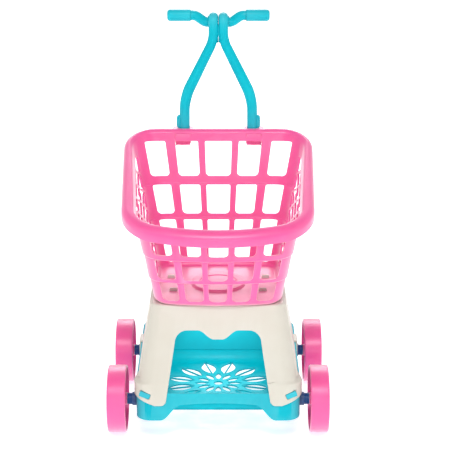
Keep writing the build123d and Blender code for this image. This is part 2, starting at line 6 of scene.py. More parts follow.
import bmesh
import bpy
from bpy.props import FloatProperty, FloatVectorProperty, IntProperty, PointerProperty
from bpy.types import Operator, Panel, PropertyGroup
from mathutils import Matrix, Vector


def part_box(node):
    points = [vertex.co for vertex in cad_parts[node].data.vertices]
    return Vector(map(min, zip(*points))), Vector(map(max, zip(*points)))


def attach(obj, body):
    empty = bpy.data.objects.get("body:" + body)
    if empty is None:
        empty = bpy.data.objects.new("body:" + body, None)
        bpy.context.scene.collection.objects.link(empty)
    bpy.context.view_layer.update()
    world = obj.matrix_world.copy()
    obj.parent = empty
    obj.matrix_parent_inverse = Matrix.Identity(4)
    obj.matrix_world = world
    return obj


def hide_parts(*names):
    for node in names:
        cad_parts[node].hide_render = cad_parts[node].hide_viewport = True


bl_info = {
    "name": "Toy shopping trolley",
    "version": (1, 0, 0),
    "blender": (4, 5, 0),
    "location": "View3D > Sidebar > Trolley",
    "description": "Models a child's shopping trolley round its packed frame",
    "category": "Object",
}

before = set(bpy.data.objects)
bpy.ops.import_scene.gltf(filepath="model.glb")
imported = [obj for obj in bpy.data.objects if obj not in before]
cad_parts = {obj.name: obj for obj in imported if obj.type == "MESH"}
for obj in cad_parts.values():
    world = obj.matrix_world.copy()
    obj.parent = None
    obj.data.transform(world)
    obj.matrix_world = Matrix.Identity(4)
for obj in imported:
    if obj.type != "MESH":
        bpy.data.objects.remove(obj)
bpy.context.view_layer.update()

MM = 0.001
BODY = "trolley"
SIDES = {"left": -1, "right": 1}
ENDS = ("front", "rear")
BACK_SPANS = 4
CORNER_SPANS = 8
SIDE_SPANS = 8
FRONT_SPANS = 8
HALF_TURN = BACK_SPANS + 2 * CORNER_SPANS + SIDE_SPANS + FRONT_SPANS
TURN = 2 * HALF_TURN
CIRCLE_REACH = 0.5523

# In millimetres: rises are counted from the basket's floor, and pairs are (low, high) or
# (near, far) unless they say otherwise.
TIER_RISES = (38, 72.5, 122)
WINDOW_RISES = ((8, 36), (41, 70), (78, 120), (132, 182))
FRONT_WINDOWS = ((-13.2, 13.2), (21.0, 47.6), (57.2, 82.6))
FRONT_WINDOWS_RISE = 55
BACK_WINDOWS = ((-18.5, 18.5), (28.0, 59.5), (73.0, 101.0))
BACK_WINDOWS_RISE = 155
# Places of the stand's tongues: from the middle, and behind the front axle.
TONGUES = ((62, 28), (67, 81))
# How far the stand flares into its shoe, as (rise above the ledge, share of the flare).
SHOE_FLARE = ((-2, 1.0), (0, 1.0), (1, 0.78), (2, 0.5), (3, 0.2), (4.5, 0.05), (6, 0.0))
# The front feet: their back behind the front axle, the inner edge and round of the heel, and
# where the sole starts to slant and by how many degrees.
FOOT_BACK, HEEL_EDGE, HEEL_ROUND, SLANT_START, SLANT = -13.5, 72.5, 6, 87, 22
# The clips behind the stand: length, drop below the ledge, and their window's middle from the
# clip's back, half length, low and high edge below the ledge.
CLIP_LENGTH, CLIP_DROP = 26, 22
CLIP_WINDOW, CLIP_WINDOW_HALF, CLIP_WINDOW_LOW, CLIP_WINDOW_HIGH = 13, 6.5, 16.5, 9.5
# Rises of the tube's bends above the socket's top, and the radius of each of its six bends.
FIRST_BEND, MEETING, CROWN, LOOP = 44, 123, 163, 145
TUBE_BENDS = (60, 38, 9, 8, 12, 12)


def middle(node):
    """The centre of a node's box."""
    low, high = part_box(node)
    return (low + high) / 2


FRONT_AXLE = middle("axle_front")
REAR_AXLE = middle("axle_rear")
TRAY_LOW, TRAY_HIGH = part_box("tray")
STAND_LOW, STAND_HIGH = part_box("stand")
BASKET_LOW, BASKET_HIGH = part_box("basket")


def spot(x, y, z):
    """A place in the row frame, with y counted backwards from the front axle."""
    return Vector((x, FRONT_AXLE.y + y, z))


# --- sizes and colours that a user may change ---
def size(name, description, millimetres):
    """A length that a user may change."""
    return FloatProperty(name=name, description=description, default=millimetres * MM,
                         unit="LENGTH", precision=4)


def share(name, description, default):
    """A plain number that a user may change."""
    return FloatProperty(name=name, description=description, default=default, precision=3)


def colour(name, description, red, green, blue):
    """A colour that a user may change."""
    return FloatVectorProperty(name=name, description=description, subtype="COLOR", size=3,
                               min=0.0, max=1.0, default=(red, green, blue))


class TrolleyPlastics(PropertyGroup):
    """Colours and finish of the moulded plastics."""
    pink: colour("Pink", "Basket and wheels", 0.83, 0.078, 0.32)
    pink_deep: colour("Deep pink", "Darker clouds in the pink plastic", 0.77, 0.050, 0.25)
    turquoise: colour("Turquoise", "Tray, handles, grips and caps", 0.001, 0.49, 0.58)
    turquoise_deep: colour("Deep turquoise", "Darker clouds in the turquoise plastic",
                           0.001, 0.33, 0.43)
    ivory: colour("Ivory", "Stand", 0.60, 0.583, 0.515)
    ivory_deep: colour("Warm ivory", "Darker clouds in the ivory plastic", 0.55, 0.515, 0.44)
    # Painted shade: the bushes are given navy to stand in for turquoise plastic in the deep shade
    # between the wheel and the tray.
    navy: colour("Navy", "Bushes of the axles", 0.006, 0.085, 0.27)
    navy_deep: colour("Deep navy", "Darker clouds in the navy plastic", 0.005, 0.04, 0.16)
    steel: colour("Steel", "Bright drawn steel of the axles", 0.62, 0.63, 0.65)
    roughness: share("Roughness", "Middle roughness of the plastics", 0.36)
    softness: size("Edge softness", "Radius of the moulded edges", 0.5)


class TrolleyBasket(PropertyGroup):
    """Sizes of the basket."""
    wall: size("Wall", "Thickness of the basket's wall", 2.8)
    half_bottom: size("Half width below", "Half of the floor's width", 86)
    side_lean: share("Side lean", "Outward lean of the side walls", 0.2127)
    front_y: size("Front", "Floor's front corners, behind the front axle", -20)
    front_lean: share("Front lean", "Forward lean of the front wall", 0.17)
    bow: size("Bow", "Forward bow of the floor's front edge", 9)
    bow_growth: share("Bow growth", "Growth of the bow with height", 0.085)
    back_y: size("Back", "Floor's back edge, behind the front axle", 133)
    back_lean: share("Back lean", "Backward lean of the back wall", 0.168)
    corner: size("Corner", "Corner radius at the floor", 20)
    corner_growth: share("Corner growth", "Growth of the corner radius with height", 0.09)
    step: size("Step", "How far each tier stands out over the one below", 1.6)
    rim_front_y: size("Rim front", "Front edge of the rim, behind the front axle", -72)
    rim_back_y: size("Rim back", "Back edge of the rim, behind the front axle", 173)
    rim_front_rise: size("Rim front rise", "Rim's front edge above the floor", 116)
    rim_back_rise: size("Rim back rise", "Rim's back edge above the floor", 200)
    rim_half_front: size("Rim half front", "Half width of the rim at its front", 129)
    rim_half_back: size("Rim half back", "Half width of the rim at its back", 134.5)
    rim_bow: size("Rim bow", "Forward bow of the rim's front", 26)
    rim_corner: size("Rim corner", "Corner radius of the rim", 42)
    rim_band: size("Rim band", "Height of the rim's skirt", 17)
    rim_inner_round: size("Rim inner round", "Radius between the wall and the rim", 4)
    rim_roll: size("Rim roll", "Radius of the rim's outer edge", 9)
    strut: size("Strut", "Width of the side lattice's struts", 3.4)
    cell_length: size("Cell length", "Length of a diamond cell", 52)
    cell_height: size("Cell height", "Height of a diamond cell", 27)
    disc_radius: size("Disc radius", "Radius of the raised disc of the floor", 38)
    disc_rise: size("Disc rise", "Height of the raised disc", 3.5)


class TrolleyStand(PropertyGroup):
    """Sizes of the stand."""
    wall: size("Wall", "Thickness of the stand's wall", 2.5)
    ledge_z: size("Ledge height", "Height of the tray's ledge, where the stand sits", 88)
    top_half: size("Half width above", "Half of the top's width", 91)
    top_front_y: size("Top front", "Top's front edge, behind the front axle", -20)
    top_back_y: size("Top back", "Top's back edge, behind the front axle", 108)
    top_corner: size("Top corner", "Corner radius of the top", 16)
    foot_half: size("Half width below", "Half width at the ledge", 109.5)
    foot_back_y: size("Foot back", "Back edge at the ledge, behind the front axle", 132)
    foot_corner: size("Foot corner", "Corner radius at the ledge", 20)
    arch_top: size("Arch drop", "From the stand's top down to the arch", 34)
    arch_dip: size("Dip", "How far the arch dips in its middle", 12)
    arch_half: size("Arch half width", "Half width of the arch at its top", 59)
    arch_round: size("Arch round", "Radius of the arch's upper corners", 17)
    arch_spread: share("Arch spread", "Outward lean of the arch's sides", 0.13)
    panel_step: size("Panel step", "How far the side panels stand out", 1.6)


class TrolleyTray(PropertyGroup):
    """Sizes of the tray."""
    wall: size("Wall", "Thickness of the tray's wall", 2.5)
    half: size("Half width", "Half of the tray's width", 113)
    front_y: size("Front", "Front edge, behind the front axle", -45)
    back_overhang: size("Back overhang", "Back edge, behind the rear axle", 20)
    corner: size("Corner", "Corner radius of the outline", 20)
    ledge: size("Ledge", "Width of the ledge beside the recess", 22)
    ledge_z: size("Ledge height", "Height of the ledge", 88)
    lip_z: size("Lip height", "Height of the front lip", 75)
    floor_z: size("Floor height", "Height of the tray's floor", 55)
    recess_back_y: size("Recess back", "Back of the recess, behind the front axle", 119)
    recess_corner: size("Recess corner", "Corner radius of the recess", 10)
    cove: size("Cove", "Radius between the floor and the walls", 16)
    flower_y: size("Flower", "Centre of the flower, behind the front axle", 35.5)
    petals: IntProperty(name="Petals", description="Number of petals", default=12, min=3)
    petal_inner: size("Petal start", "Radius where the petals start", 34)
    petal_outer: size("Petal end", "Radius where the petals end", 75.5)
    petal_width: size("Petal width", "Width of a petal", 20)
    petal_rib: size("Petal rib", "Rib along the middle of a petal", 1.6)
    drop_inner: size("Drop start", "Radius where the small drops start", 13)
    drop_outer: size("Drop end", "Radius where the small drops end", 34)
    drop_width: size("Drop width", "Width of a small drop", 8)
    eye: size("Eye", "Radius of the hole in the middle of the flower", 6)


class TrolleyWheels(PropertyGroup):
    """Sizes of the wheels and of what holds them."""
    wall: size("Wall", "Thickness of the rim and of the disc", 2.6)
    disc_inset: size("Disc inset", "Depth of the disc behind the outer edge", 7)
    hub: size("Hub", "Radius of the hub", 9)
    boss: size("Boss", "Radius of the raised boss round the cap", 12)
    holes: IntProperty(name="Holes", description="Number of holes in a disc", default=6, min=2)
    hole: size("Hole", "Radius of a hole", 7.5)
    bore: size("Bore", "Radius of the hub's bore", 2.55)
    edge: size("Edge", "Radius of the tread's edges", 2.2)
    bush_neck: size("Bush neck", "Radius of the bush beside the wheel", 8)


class TrolleyHandle(PropertyGroup):
    """Sizes of the handle."""
    tube_below: size("Tube radius below", "Radius of the tube at its foot", 7)
    tube_above: size("Tube radius above", "Radius of the tube at its top", 7)
    tube_swell: size("Tube swell", "How much thicker the tube is between its bends", 1.0)
    tube_x: size("Tube place", "From the middle to the tube's foot", 48.5)
    socket_x: size("Socket place", "From the middle to the socket", 51)
    socket_y: size("Socket depth place", "Socket's centre, behind the front axle", 180)
    socket_radius: size("Socket radius", "Outer radius of a socket", 11.5)
    flange_radius: size("Flange radius", "Outer radius of a socket's flange", 15)
    flange: size("Flange", "Height of a socket's flange", 4)
    socket_below_rim: size("Socket drop", "Socket's top below the rim's back", 3)
    socket_depth: size("Socket depth", "Depth of the tube in its socket", 20)
    pair_x: size("Pair place", "From the middle to a tube where the two meet", 7.1)
    pair_y: size("Pair depth place", "The meeting tubes, behind the front axle", 204)
    loop_y: size("Loop depth place", "The grips, behind the front axle", 228)


class TrolleyStudio(PropertyGroup):
    """Camera, light and floor."""
    height: size("Camera height", "Height of the camera", 915)
    distance: size("Camera distance", "From the camera to the front axle, along the floor", 1885)
    aside: size("Camera aside", "Camera's place to the right of the middle", 9.5)
    pitch: FloatProperty(name="Pitch", description="Downward tilt of the camera",
                         default=math.radians(18), subtype="ANGLE")
    lens: FloatProperty(name="Lens", description="Focal length", default=117.6, unit="CAMERA")
    key_power: FloatProperty(name="Key power", description="Power of the key light",
                             default=29.0, unit="POWER")
    fill_power: FloatProperty(name="Fill power", description="Power of each light at the sides",
                              default=7.0, unit="POWER")
    sky: FloatProperty(name="Sky", description="Strength of the white surroundings", default=0.55)
    back_power: FloatProperty(name="Back power", description="Power of the light behind",
                              default=38.0, unit="POWER")
    low_power: FloatProperty(name="Low power", description="Power of the low light in front",
                             default=6.0, unit="POWER")
    arch_power: FloatProperty(name="Arch power", description="Power of the light in the stand",
                              default=0.15, unit="POWER")
    floor_glow: share("Floor glow", "How far the white floor is lit from below", 0.62)


GROUPS = {"plastics": TrolleyPlastics, "basket": TrolleyBasket, "stand": TrolleyStand,
          "tray": TrolleyTray, "wheels": TrolleyWheels, "handle": TrolleyHandle,
          "studio": TrolleyStudio}


def sizes(group):
    """One of the trolley's property groups."""
    return getattr(bpy.context.scene, f"trolley_{group}")


# --- modelling by hand ---
def deselect():
    """Leaves edit mode and selects nothing."""
    if bpy.context.object and bpy.context.object.mode != "OBJECT":
        bpy.ops.object.mode_set(mode="OBJECT")
    bpy.ops.object.select_all(action="DESELECT")


def take(piece):
    """Makes one piece the selected and active one."""
    deselect()
    piece.select_set(True)
    bpy.context.view_layer.objects.active = piece


@contextmanager
def editing(piece):
    """Edit mode on one piece."""
    take(piece)
    bpy.ops.object.mode_set(mode="EDIT")
    yield
    bpy.ops.object.mode_set(mode="OBJECT")


def pick(piece, kind, wanted):
    """Selects the vertices, edges or faces that pass a test, in edit mode."""
    bpy.ops.mesh.select_mode(type=kind)
    bpy.ops.mesh.select_all(action="DESELECT")
    mesh = bmesh.from_edit_mesh(piece.data)
    parts = {"VERT": mesh.verts, "EDGE": mesh.edges, "FACE": mesh.faces}[kind]
    chosen = [part for part in parts if wanted(part)]
    if not chosen:
        raise RuntimeError(f"nothing to pick on {piece.name}")
    for part in chosen:
        part.select_set(True)
    mesh.select_flush_mode()
    bmesh.update_edit_mesh(piece.data)


def edge_middle(edge):
    """The spot halfway along an edge."""
    return (edge.verts[0].co + edge.verts[1].co) / 2


def runs_along(edge, axis):
    """Whether an edge runs along one of the axes x, y and z."""
    way = (edge.verts[1].co - edge.verts[0].co).normalized()
    return abs(getattr(way, axis)) > 0.9


def facing(axis, limit=0.99):
    """A test for faces that look along one of the axes +x, -x, +z and -z."""
    sign = -1 if axis[0] == "-" else 1
    return lambda face: sign * getattr(face.normal, axis[1]) > limit


def quarter(steps):
    """Shares of a radius left over beside and below a quarter round, step by step."""
    turns = [math.radians(90 * step / steps) for step in range(steps + 1)]
    return [(1 - math.sin(turn), 1 - math.cos(turn)) for turn in turns]


def settle(piece):
    """Puts the piece's place into its mesh."""
    take(piece)
    bpy.ops.object.transform_apply(location=True, rotation=True, scale=True)
    return piece


def named_new(name):
    """Names the primitive that was just added."""
    piece = bpy.context.object
    piece.name = name
    piece.data.name = name
    return settle(piece)


def slab(name, low, high):
    """A block between two corners."""
    deselect()
    bpy.ops.mesh.primitive_cube_add(size=1, location=(low + high) / 2, scale=high - low)
    return named_new(name)


def drum(name, centre, radius, length, way="Z", sides=48):
    """A cylinder along an axis, centred on a spot."""
    turns = {"X": (0, math.pi / 2, 0), "Y": (math.pi / 2, 0, 0), "Z": (0, 0, 0)}
    deselect()
    bpy.ops.mesh.primitive_cylinder_add(vertices=sides, radius=radius, depth=length,
                                        location=centre, rotation=turns[way])
    return named_new(name)


def sheet(name, columns, rows, place):
    """A grid whose corners go to place(column, row)."""
    deselect()
    bpy.ops.mesh.primitive_grid_add(x_subdivisions=columns, y_subdivisions=rows, size=1)
    piece = named_new(name)
    for corner in piece.data.vertices:
        column = round((corner.co.x + 0.5) * columns)
        row = round((corner.co.y + 0.5) * rows)
        corner.co = place(column, row)
    with editing(piece):
        bpy.ops.mesh.select_all(action="SELECT")
        bpy.ops.mesh.remove_doubles(threshold=0.01 * MM)
    return piece


def strip(name, steps, place, depth):
    """A bar whose section lies between two curves, place(share, 0) and place(share, 1)."""
    piece = sheet(name, steps, 1, lambda column, row: place(column / steps, row))
    with editing(piece):
        bpy.ops.mesh.select_all(action="SELECT")
        bpy.ops.mesh.extrude_region_move(TRANSFORM_OT_translate={"value": depth})
        bpy.ops.mesh.select_all(action="SELECT")
        bpy.ops.mesh.normals_make_consistent(inside=False)
    return piece


def close_ends(piece, *at_end):
    """Closes each open end whose edges' middles pass a test, and turns the faces outwards."""
    with editing(piece):
        for test in at_end:
            pick(piece, "EDGE", lambda edge, test=test: edge.is_boundary
                 and test(edge_middle(edge)))
            bpy.ops.mesh.edge_face_add()
        bpy.ops.mesh.select_all(action="SELECT")
        bpy.ops.mesh.normals_make_consistent(inside=False)
    return piece


def closed(name, rows):
    """A solid whose skin runs through rows of corners, flat at both ends."""
    piece = sheet(name, TURN, len(rows) - 1, lambda column, row: rows[row](column))
    return close_ends(piece, *(lambda at, z=rows[end](0).z: abs(at.z - z) < 0.1 * MM
                               for end in (0, -1)))


def round_edges(piece, wanted, radius, segments=4):
    """Rounds the edges that pass a test."""
    with editing(piece):
        pick(piece, "EDGE", wanted)
        bpy.ops.mesh.bevel(offset=radius, segments=segments, affect="EDGES")


def modify(piece, kind, **settings):
    """Adds a modifier to the piece and applies it."""
    take(piece)
    modifier = piece.modifiers.new(kind.title(), kind)
    for name, value in settings.items():
        setattr(modifier, name, value)
    bpy.ops.object.modifier_apply(modifier=modifier.name)
    return piece


def remove(piece):
    """Deletes a piece."""
    bpy.data.objects.remove(piece, do_unlink=True)


def combine(piece, other, operation, untangle=False):
    """Cuts the piece with another, or joins it, and drops the other.

    Untangle also clears places where the piece's own wall crosses itself."""
    modify(piece, "BOOLEAN", operation=operation, solver="EXACT", object=other,
           use_self=untangle)
    remove(other)
    return piece


def cut(piece, *cutters):
    """Cuts the piece with each cutter."""
    for cutter in cutters:
        combine(piece, cutter, "DIFFERENCE")


def weld(piece, *others):
    """Joins other solids to the piece."""
    for other in others:
        combine(piece, other, "UNION")


def gather(name, pieces):
    """Joins separate pieces into one object."""
    take(pieces[0])
    for piece in pieces[1:]:
        piece.select_set(True)
    bpy.ops.object.join()
    return named_new(name)


def copied(piece, name, matrix):
    """A copy with its own mesh, moved by a matrix and turned the right way out."""
    copy = piece.copy()
    copy.data = piece.data.copy()
    copy.name = name
    copy.data.name = name
    bpy.context.collection.objects.link(copy)
    copy.data.transform(matrix)
    if matrix.determinant() < 0:
        with editing(copy):
            bpy.ops.mesh.select_all(action="SELECT")
            bpy.ops.mesh.flip_normals()
    return copy


def soften(piece, width, angle=32, segments=2):
    """Gives the sharp edges of a moulded piece their small round."""
    with editing(piece):
        bpy.ops.mesh.select_all(action="SELECT")
        bpy.ops.mesh.remove_doubles(threshold=0.05 * MM)
    modify(piece, "BEVEL", width=width, segments=segments, limit_method="ANGLE",
           angle_limit=math.radians(angle), use_clamp_overlap=False, miter_outer="MITER_ARC")
    return piece


def finish(piece, name, material, slot, *nodes, body=BODY):
    """Names, smooths, paints and mounts a finished piece in place of its nodes."""
    piece.name = name
    piece.data.name = name
    settle(piece)
    bpy.ops.object.shade_smooth_by_angle(angle=math.radians(38))
    modify(piece, "WEIGHTED_NORMAL", keep_sharp=True)
    piece.data.materials.clear()
    piece.data.materials.append(material)
    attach(piece, body)
    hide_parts(*nodes)
    return piece


# --- curves ---
def rounded(start, corner, end, share_of_turn):
    """A spot on the round that leaves start towards the corner and arrives at end."""
    near = start.lerp(corner, CIRCLE_REACH)
    far = end.lerp(corner, CIRCLE_REACH)
    rest = 1 - share_of_turn
    return (start * rest ** 3 + near * (3 * rest * rest * share_of_turn)
            + far * (3 * rest * share_of_turn ** 2) + end * share_of_turn ** 3)


def outline(column, half, front, back, bow, corner):
    """A spot on a four-sided outline with round corners and a bowed front.

    Column 0 is the middle of the back, and the columns run to the right and forwards."""
    step = TURN - column if column > HALF_TURN else column
    side = -1 if column > HALF_TURN else 1
    straight = half - corner
    front_end = Vector((straight, front - bow * (1 - (straight / half) ** 2)))
    front_corner = Vector((half, front_end.y + 2 * bow * straight / half ** 2 * corner))
    side_front = front_corner + Vector((0, corner))
    side_back = Vector((half, back - corner))
    if step <= BACK_SPANS:
        place = Vector((straight * step / BACK_SPANS, back))
        return Vector((place.x * side, place.y))
    step -= BACK_SPANS
    if step <= CORNER_SPANS:
        place = rounded(Vector((straight, back)), Vector((half, back)), side_back,
                        step / CORNER_SPANS)
        return Vector((place.x * side, place.y))
    step -= CORNER_SPANS
    if step <= SIDE_SPANS:
        place = side_back.lerp(side_front, step / SIDE_SPANS)
        return Vector((place.x * side, place.y))
    step -= SIDE_SPANS
    if step <= CORNER_SPANS:
        place = rounded(side_front, front_corner, front_end, step / CORNER_SPANS)
        return Vector((place.x * side, place.y))
    x = straight * (1 - (step - CORNER_SPANS) / FRONT_SPANS)
    return Vector((x * side, front - bow * (1 - (x / half) ** 2)))


def smooth_step(value):
    """Eases a value from 0 to 1."""
    value = min(1.0, max(0.0, value))
    return value * value * (3 - 2 * value)


# --- materials ---
def add_node(tree, kind, **inputs):
    """Adds a node and sets its inputs."""
    node = tree.nodes.new(kind)
    for name, value in inputs.items():
        node.inputs[name.replace("_", " ")].default_value = value
    return node


def noise(tree, place, scale, detail, roughness=0.5):
    """A noise pattern in the piece's own space."""
    node = add_node(tree, "ShaderNodeTexNoise", Scale=scale, Detail=detail, Roughness=roughness)
    tree.links.new(place, node.inputs["Vector"])
    return node.outputs["Fac"]


def ranged(tree, value, low, high, start=0.3, stop=0.7):
    """Stretches a texture's value to a range."""
    node = tree.nodes.new("ShaderNodeMapRange")
    tree.links.new(value, node.inputs["Value"])
    node.inputs["From Min"].default_value = start
    node.inputs["From Max"].default_value = stop
    node.inputs["To Min"].default_value = low
    node.inputs["To Max"].default_value = high
    return node.outputs["Result"]


def mixed(tree, factor, first, second, blend="MIX"):
    """Mixes two colours, each a value or a socket."""
    node = tree.nodes.new("ShaderNodeMix")
    node.data_type = "RGBA"
    node.blend_type = blend
    tree.links.new(factor, node.inputs[0])
    for socket, paint in ((node.inputs[6], first), (node.inputs[7], second)):
        if isinstance(paint, bpy.types.NodeSocket):
            tree.links.new(paint, socket)
        else:
            socket.default_value = (*paint, 1.0)
    return node.outputs[2]


def new_material(name):
    """A material with its tree, its shader and its place on the piece."""
    material = bpy.data.materials.new(name)
    material.use_nodes = True
    tree = material.node_tree
    shader = tree.nodes["Principled BSDF"]
    place = tree.nodes.new("ShaderNodeTexCoord").outputs["Object"]
    return material, tree, shader, place


def bumped(tree, shader, layers):
    """Stacks bump layers of (height socket, strength, distance)."""
    normal = None
    for height, strength, distance in layers:
        node = add_node(tree, "ShaderNodeBump", Strength=strength, Distance=distance)
        tree.links.new(height, node.inputs["Height"])
        if normal is not None:
            tree.links.new(normal, node.inputs["Normal"])
        normal = node.outputs["Normal"]
    tree.links.new(normal, shader.inputs["Normal"])


def moulded_plastic(name, paint, deep, roughness, glow, gloss, veil):
    """Injection-moulded plastic: clouded colour, faint flow marks and a painted highlight that
    pales its edges.
    """
    material, tree, shader, place = new_material(name)
    clouds = ranged(tree, noise(tree, place, 14, 3), 0, 0.55)
    flow = ranged(tree, noise(tree, place, 55, 2, 0.6), 0, 0.18)
    base = mixed(tree, clouds, paint, deep)
    base = mixed(tree, flow, base, deep)
    # Painted highlight: edges found by pointiness are mixed towards a pale tint of the paint,
    # standing in for thin edge highlights.
    edges = tree.nodes.new("ShaderNodeNewGeometry").outputs["Pointiness"]
    edge_highlight = ranged(tree, edges, 0, 0.22, 0.52, 0.60)
    highlight_tint = tuple(0.55 + 0.45 * channel for channel in paint)
    base = mixed(tree, edge_highlight, base, highlight_tint)
    tree.links.new(base, shader.inputs["Base Color"])
    patches = ranged(tree, noise(tree, place, 32, 4), roughness - 0.06, roughness + 0.07)
    tree.links.new(patches, shader.inputs["Roughness"])
    skin = noise(tree, place, 1500, 2)
    waves = noise(tree, place, 38, 2)
    bumped(tree, shader, [(waves, 0.10, 0.4 * MM), (skin, 0.12, 0.03 * MM)])
    shader.inputs["IOR"].default_value = 1.48
    shader.inputs["Specular IOR Level"].default_value = gloss
    shader.inputs["Sheen Weight"].default_value = veil
    shader.inputs["Sheen Roughness"].default_value = 0.45
    shader.inputs["Subsurface Weight"].default_value = glow
    shader.inputs["Subsurface Radius"].default_value = tuple(0.3 + 0.7 * c for c in paint)
    shader.inputs["Subsurface Scale"].default_value = 3 * MM
    return material


def drawn_steel(name, paint):
    """Bright drawn bar with fine lines along X and faint tarnish."""
    material, tree, shader, place = new_material(name)
    mapping = add_node(tree, "ShaderNodeMapping", Scale=(0.02, 1.0, 1.0))
    tree.links.new(place, mapping.inputs["Vector"])
    lines = noise(tree, mapping.outputs["Vector"], 2600, 2)
    stains = ranged(tree, noise(tree, place, 70, 3), 0, 0.5)
    dull = tuple(channel * 0.62 for channel in paint)
    tree.links.new(mixed(tree, stains, paint, dull), shader.inputs["Base Color"])
    tree.links.new(ranged(tree, lines, 0.22, 0.38), shader.inputs["Roughness"])
    bumped(tree, shader, [(lines, 0.15, 0.02 * MM)])
    shader.inputs["Metallic"].default_value = 1.0
    return material


# How far light scatters inside each plastic, its specular level and its sheen.
FINISHES = {"pink": (0.16, 0.75, 0.8), "turquoise": (0.06, 0.12, 0.0),
            "ivory": (0.12, 0.35, 0.05), "navy": (0.02, 0.30, 0.0)}


def plastic(kind):
    """One of the trolley's plastics, made once."""
    name = f"trolley_{kind}_plastic"
    if name in bpy.data.materials:
        return bpy.data.materials[name]
    group = sizes("plastics")
    return moulded_plastic(name, tuple(getattr(group, kind)),
                           tuple(getattr(group, f"{kind}_deep")), group.roughness,
                           *FINISHES[kind])


# --- basket ---
class BasketShape:
    """Heights, leans and outlines of the basket, from its sizes and its place in the frame."""

    def __init__(self):
        self.sizes = sizes("basket")
        self.bottom = BASKET_LOW.z
        self.tiers = [self.bottom + rise * MM for rise in TIER_RISES]

    def half(self, z):
        return self.sizes.half_bottom + self.sizes.side_lean * (z - self.bottom)

    def front(self, z):
        return self.sizes.front_y - self.sizes.front_lean * (z - self.bottom)

    def back(self, z):
        return self.sizes.back_y + self.sizes.back_lean * (z - self.bottom)

    def rim_z(self, y):
        """Height of the rim's sloping top, y behind the front axle."""
        group = self.sizes
        slope = ((group.rim_back_rise - group.rim_front_rise)
                 / (group.rim_back_y - group.rim_front_y))
        return self.bottom + group.rim_front_rise + slope * (y - group.rim_front_y)

    def wall(self, column, z, inset):
        """The wall at a column and a height, moved inwards by inset."""
        group = self.sizes
        rise = z - self.bottom
        flat = outline(column, self.half(z) - inset, self.front(z) + inset,
                       self.back(z) - inset, group.bow + group.bow_growth * rise,
                       group.corner + group.corner_growth * rise - inset)
        return spot(flat.x, flat.y, z)

    def wall_top(self, column, inset, drop):
        """The wall where it passes a line that lies drop below the rim's top."""
        z = self.bottom + self.sizes.rim_front_rise
        for _ in range(12):
            z = self.rim_z(self.wall(column, z, inset).y - FRONT_AXLE.y) - drop
        return self.wall(column, z, inset)

    def rim(self, column, drop):
        """The rim's outer edge at a column, drop below its top."""
        group = self.sizes
        flat = outline(column, group.rim_half_front, group.rim_front_y + group.rim_bow,
                       group.rim_back_y, group.rim_bow, group.rim_corner)
        along = ((flat.y - group.rim_front_y) / (group.rim_back_y - group.rim_front_y))
        widen = 1 + (group.rim_half_back / group.rim_half_front - 1) * smooth_step(along)
        return spot(flat.x * widen, flat.y, self.rim_z(flat.y) - drop)

    def flange(self, column, reach, drop):
        """Between the wall's top and the rim's edge: reach is counted outwards from the wall."""
        wall = self.wall_top(column, self.sizes.wall, 0)
        edge = self.rim(column, 0)
        way = edge - wall
        place = wall + way * (reach / way.length)
        place.z -= drop
        return place

    def flange_width(self, column):
        return (self.rim(column, 0) - self.wall_top(column, self.sizes.wall, 0)).length

    def tier_shift(self, z):
        """How far the wall stands out of its mean slope at a height: stepped at each tier."""
        edges = [self.bottom, *self.tiers, self.bottom + self.sizes.rim_back_rise]
        for low, high in zip(edges, edges[1:]):
            if z <= high:
                return self.sizes.step * (0.5 - (z - low) / (high - low))
        return -self.sizes.step / 2


def basket_rows(shape):
    """Rows of the basket's visible skin: floor edge, wall, then outwards over the rim."""
    group = shape.sizes
    bottom_round = 5 * MM
    rows = []
    for beside, below in quarter(3):
        inset = group.wall + bottom_round * beside
        z = shape.bottom + group.wall + bottom_round * below
        rows.append(lambda column, inset=inset, z=z: shape.wall(column, z, inset))
    inner = group.rim_inner_round
    rows.append(lambda column: shape.wall_top(column, group.wall, inner))
    for drop, reach in quarter(3)[1:]:
        rows.append(lambda column, reach=inner * reach, drop=inner * drop:
                    shape.flange(column, reach, drop))

    def rolled(column, beside, below):
        width = shape.flange_width(column)
        roll = min(group.rim_roll, width - inner - 0.2 * MM)
        return shape.flange(column, width - roll * beside, roll * below)

    for shares in quarter(5):
        rows.append(lambda column, shares=shares: rolled(column, *shares))
    rows.append(lambda column: shape.rim(column, group.rim_band))
    return rows


def basket_skin(shape):
    """The basket's shell with a floor, stepped tiers and a rolled rim."""
    rows = basket_rows(shape)
    piece = sheet("basket", TURN, len(rows) - 1, lambda column, row: rows[row](column))
    floor_z = shape.bottom + shape.sizes.wall
    with editing(piece):
        pick(piece, "EDGE", lambda edge: edge.is_boundary and edge_middle(edge).z < floor_z + MM)
        bpy.ops.mesh.edge_face_add()
        pick(piece, "FACE", lambda face: len(face.verts) > 4)
        bpy.ops.mesh.inset(thickness=12 * MM)
        for tier in shape.tiers:
            for z in (tier - 0.7 * MM, tier + 0.7 * MM):
                pick(piece, "FACE", lambda face: is_wall(shape, face))
                bpy.ops.mesh.bisect(plane_co=(0, 0, z), plane_no=(0, 0, 1))
    step_tiers(piece, shape)
    modify(piece, "SOLIDIFY", thickness=shape.sizes.wall, offset=-1, use_even_offset=True)
    return piece


def is_wall(shape, face):
    """Whether a face of the skin belongs to the wall, between the floor and the rim."""
    steep = abs(face.normal.z) < 0.35
    under_rim = all(corner.co.z < shape.rim_z(corner.co.y - FRONT_AXLE.y)
                    - shape.sizes.rim_inner_round * 0.5 for corner in face.verts)
    inside = all(abs(corner.co.x) < shape.half(corner.co.z) for corner in face.verts)
    return steep and under_rim and inside


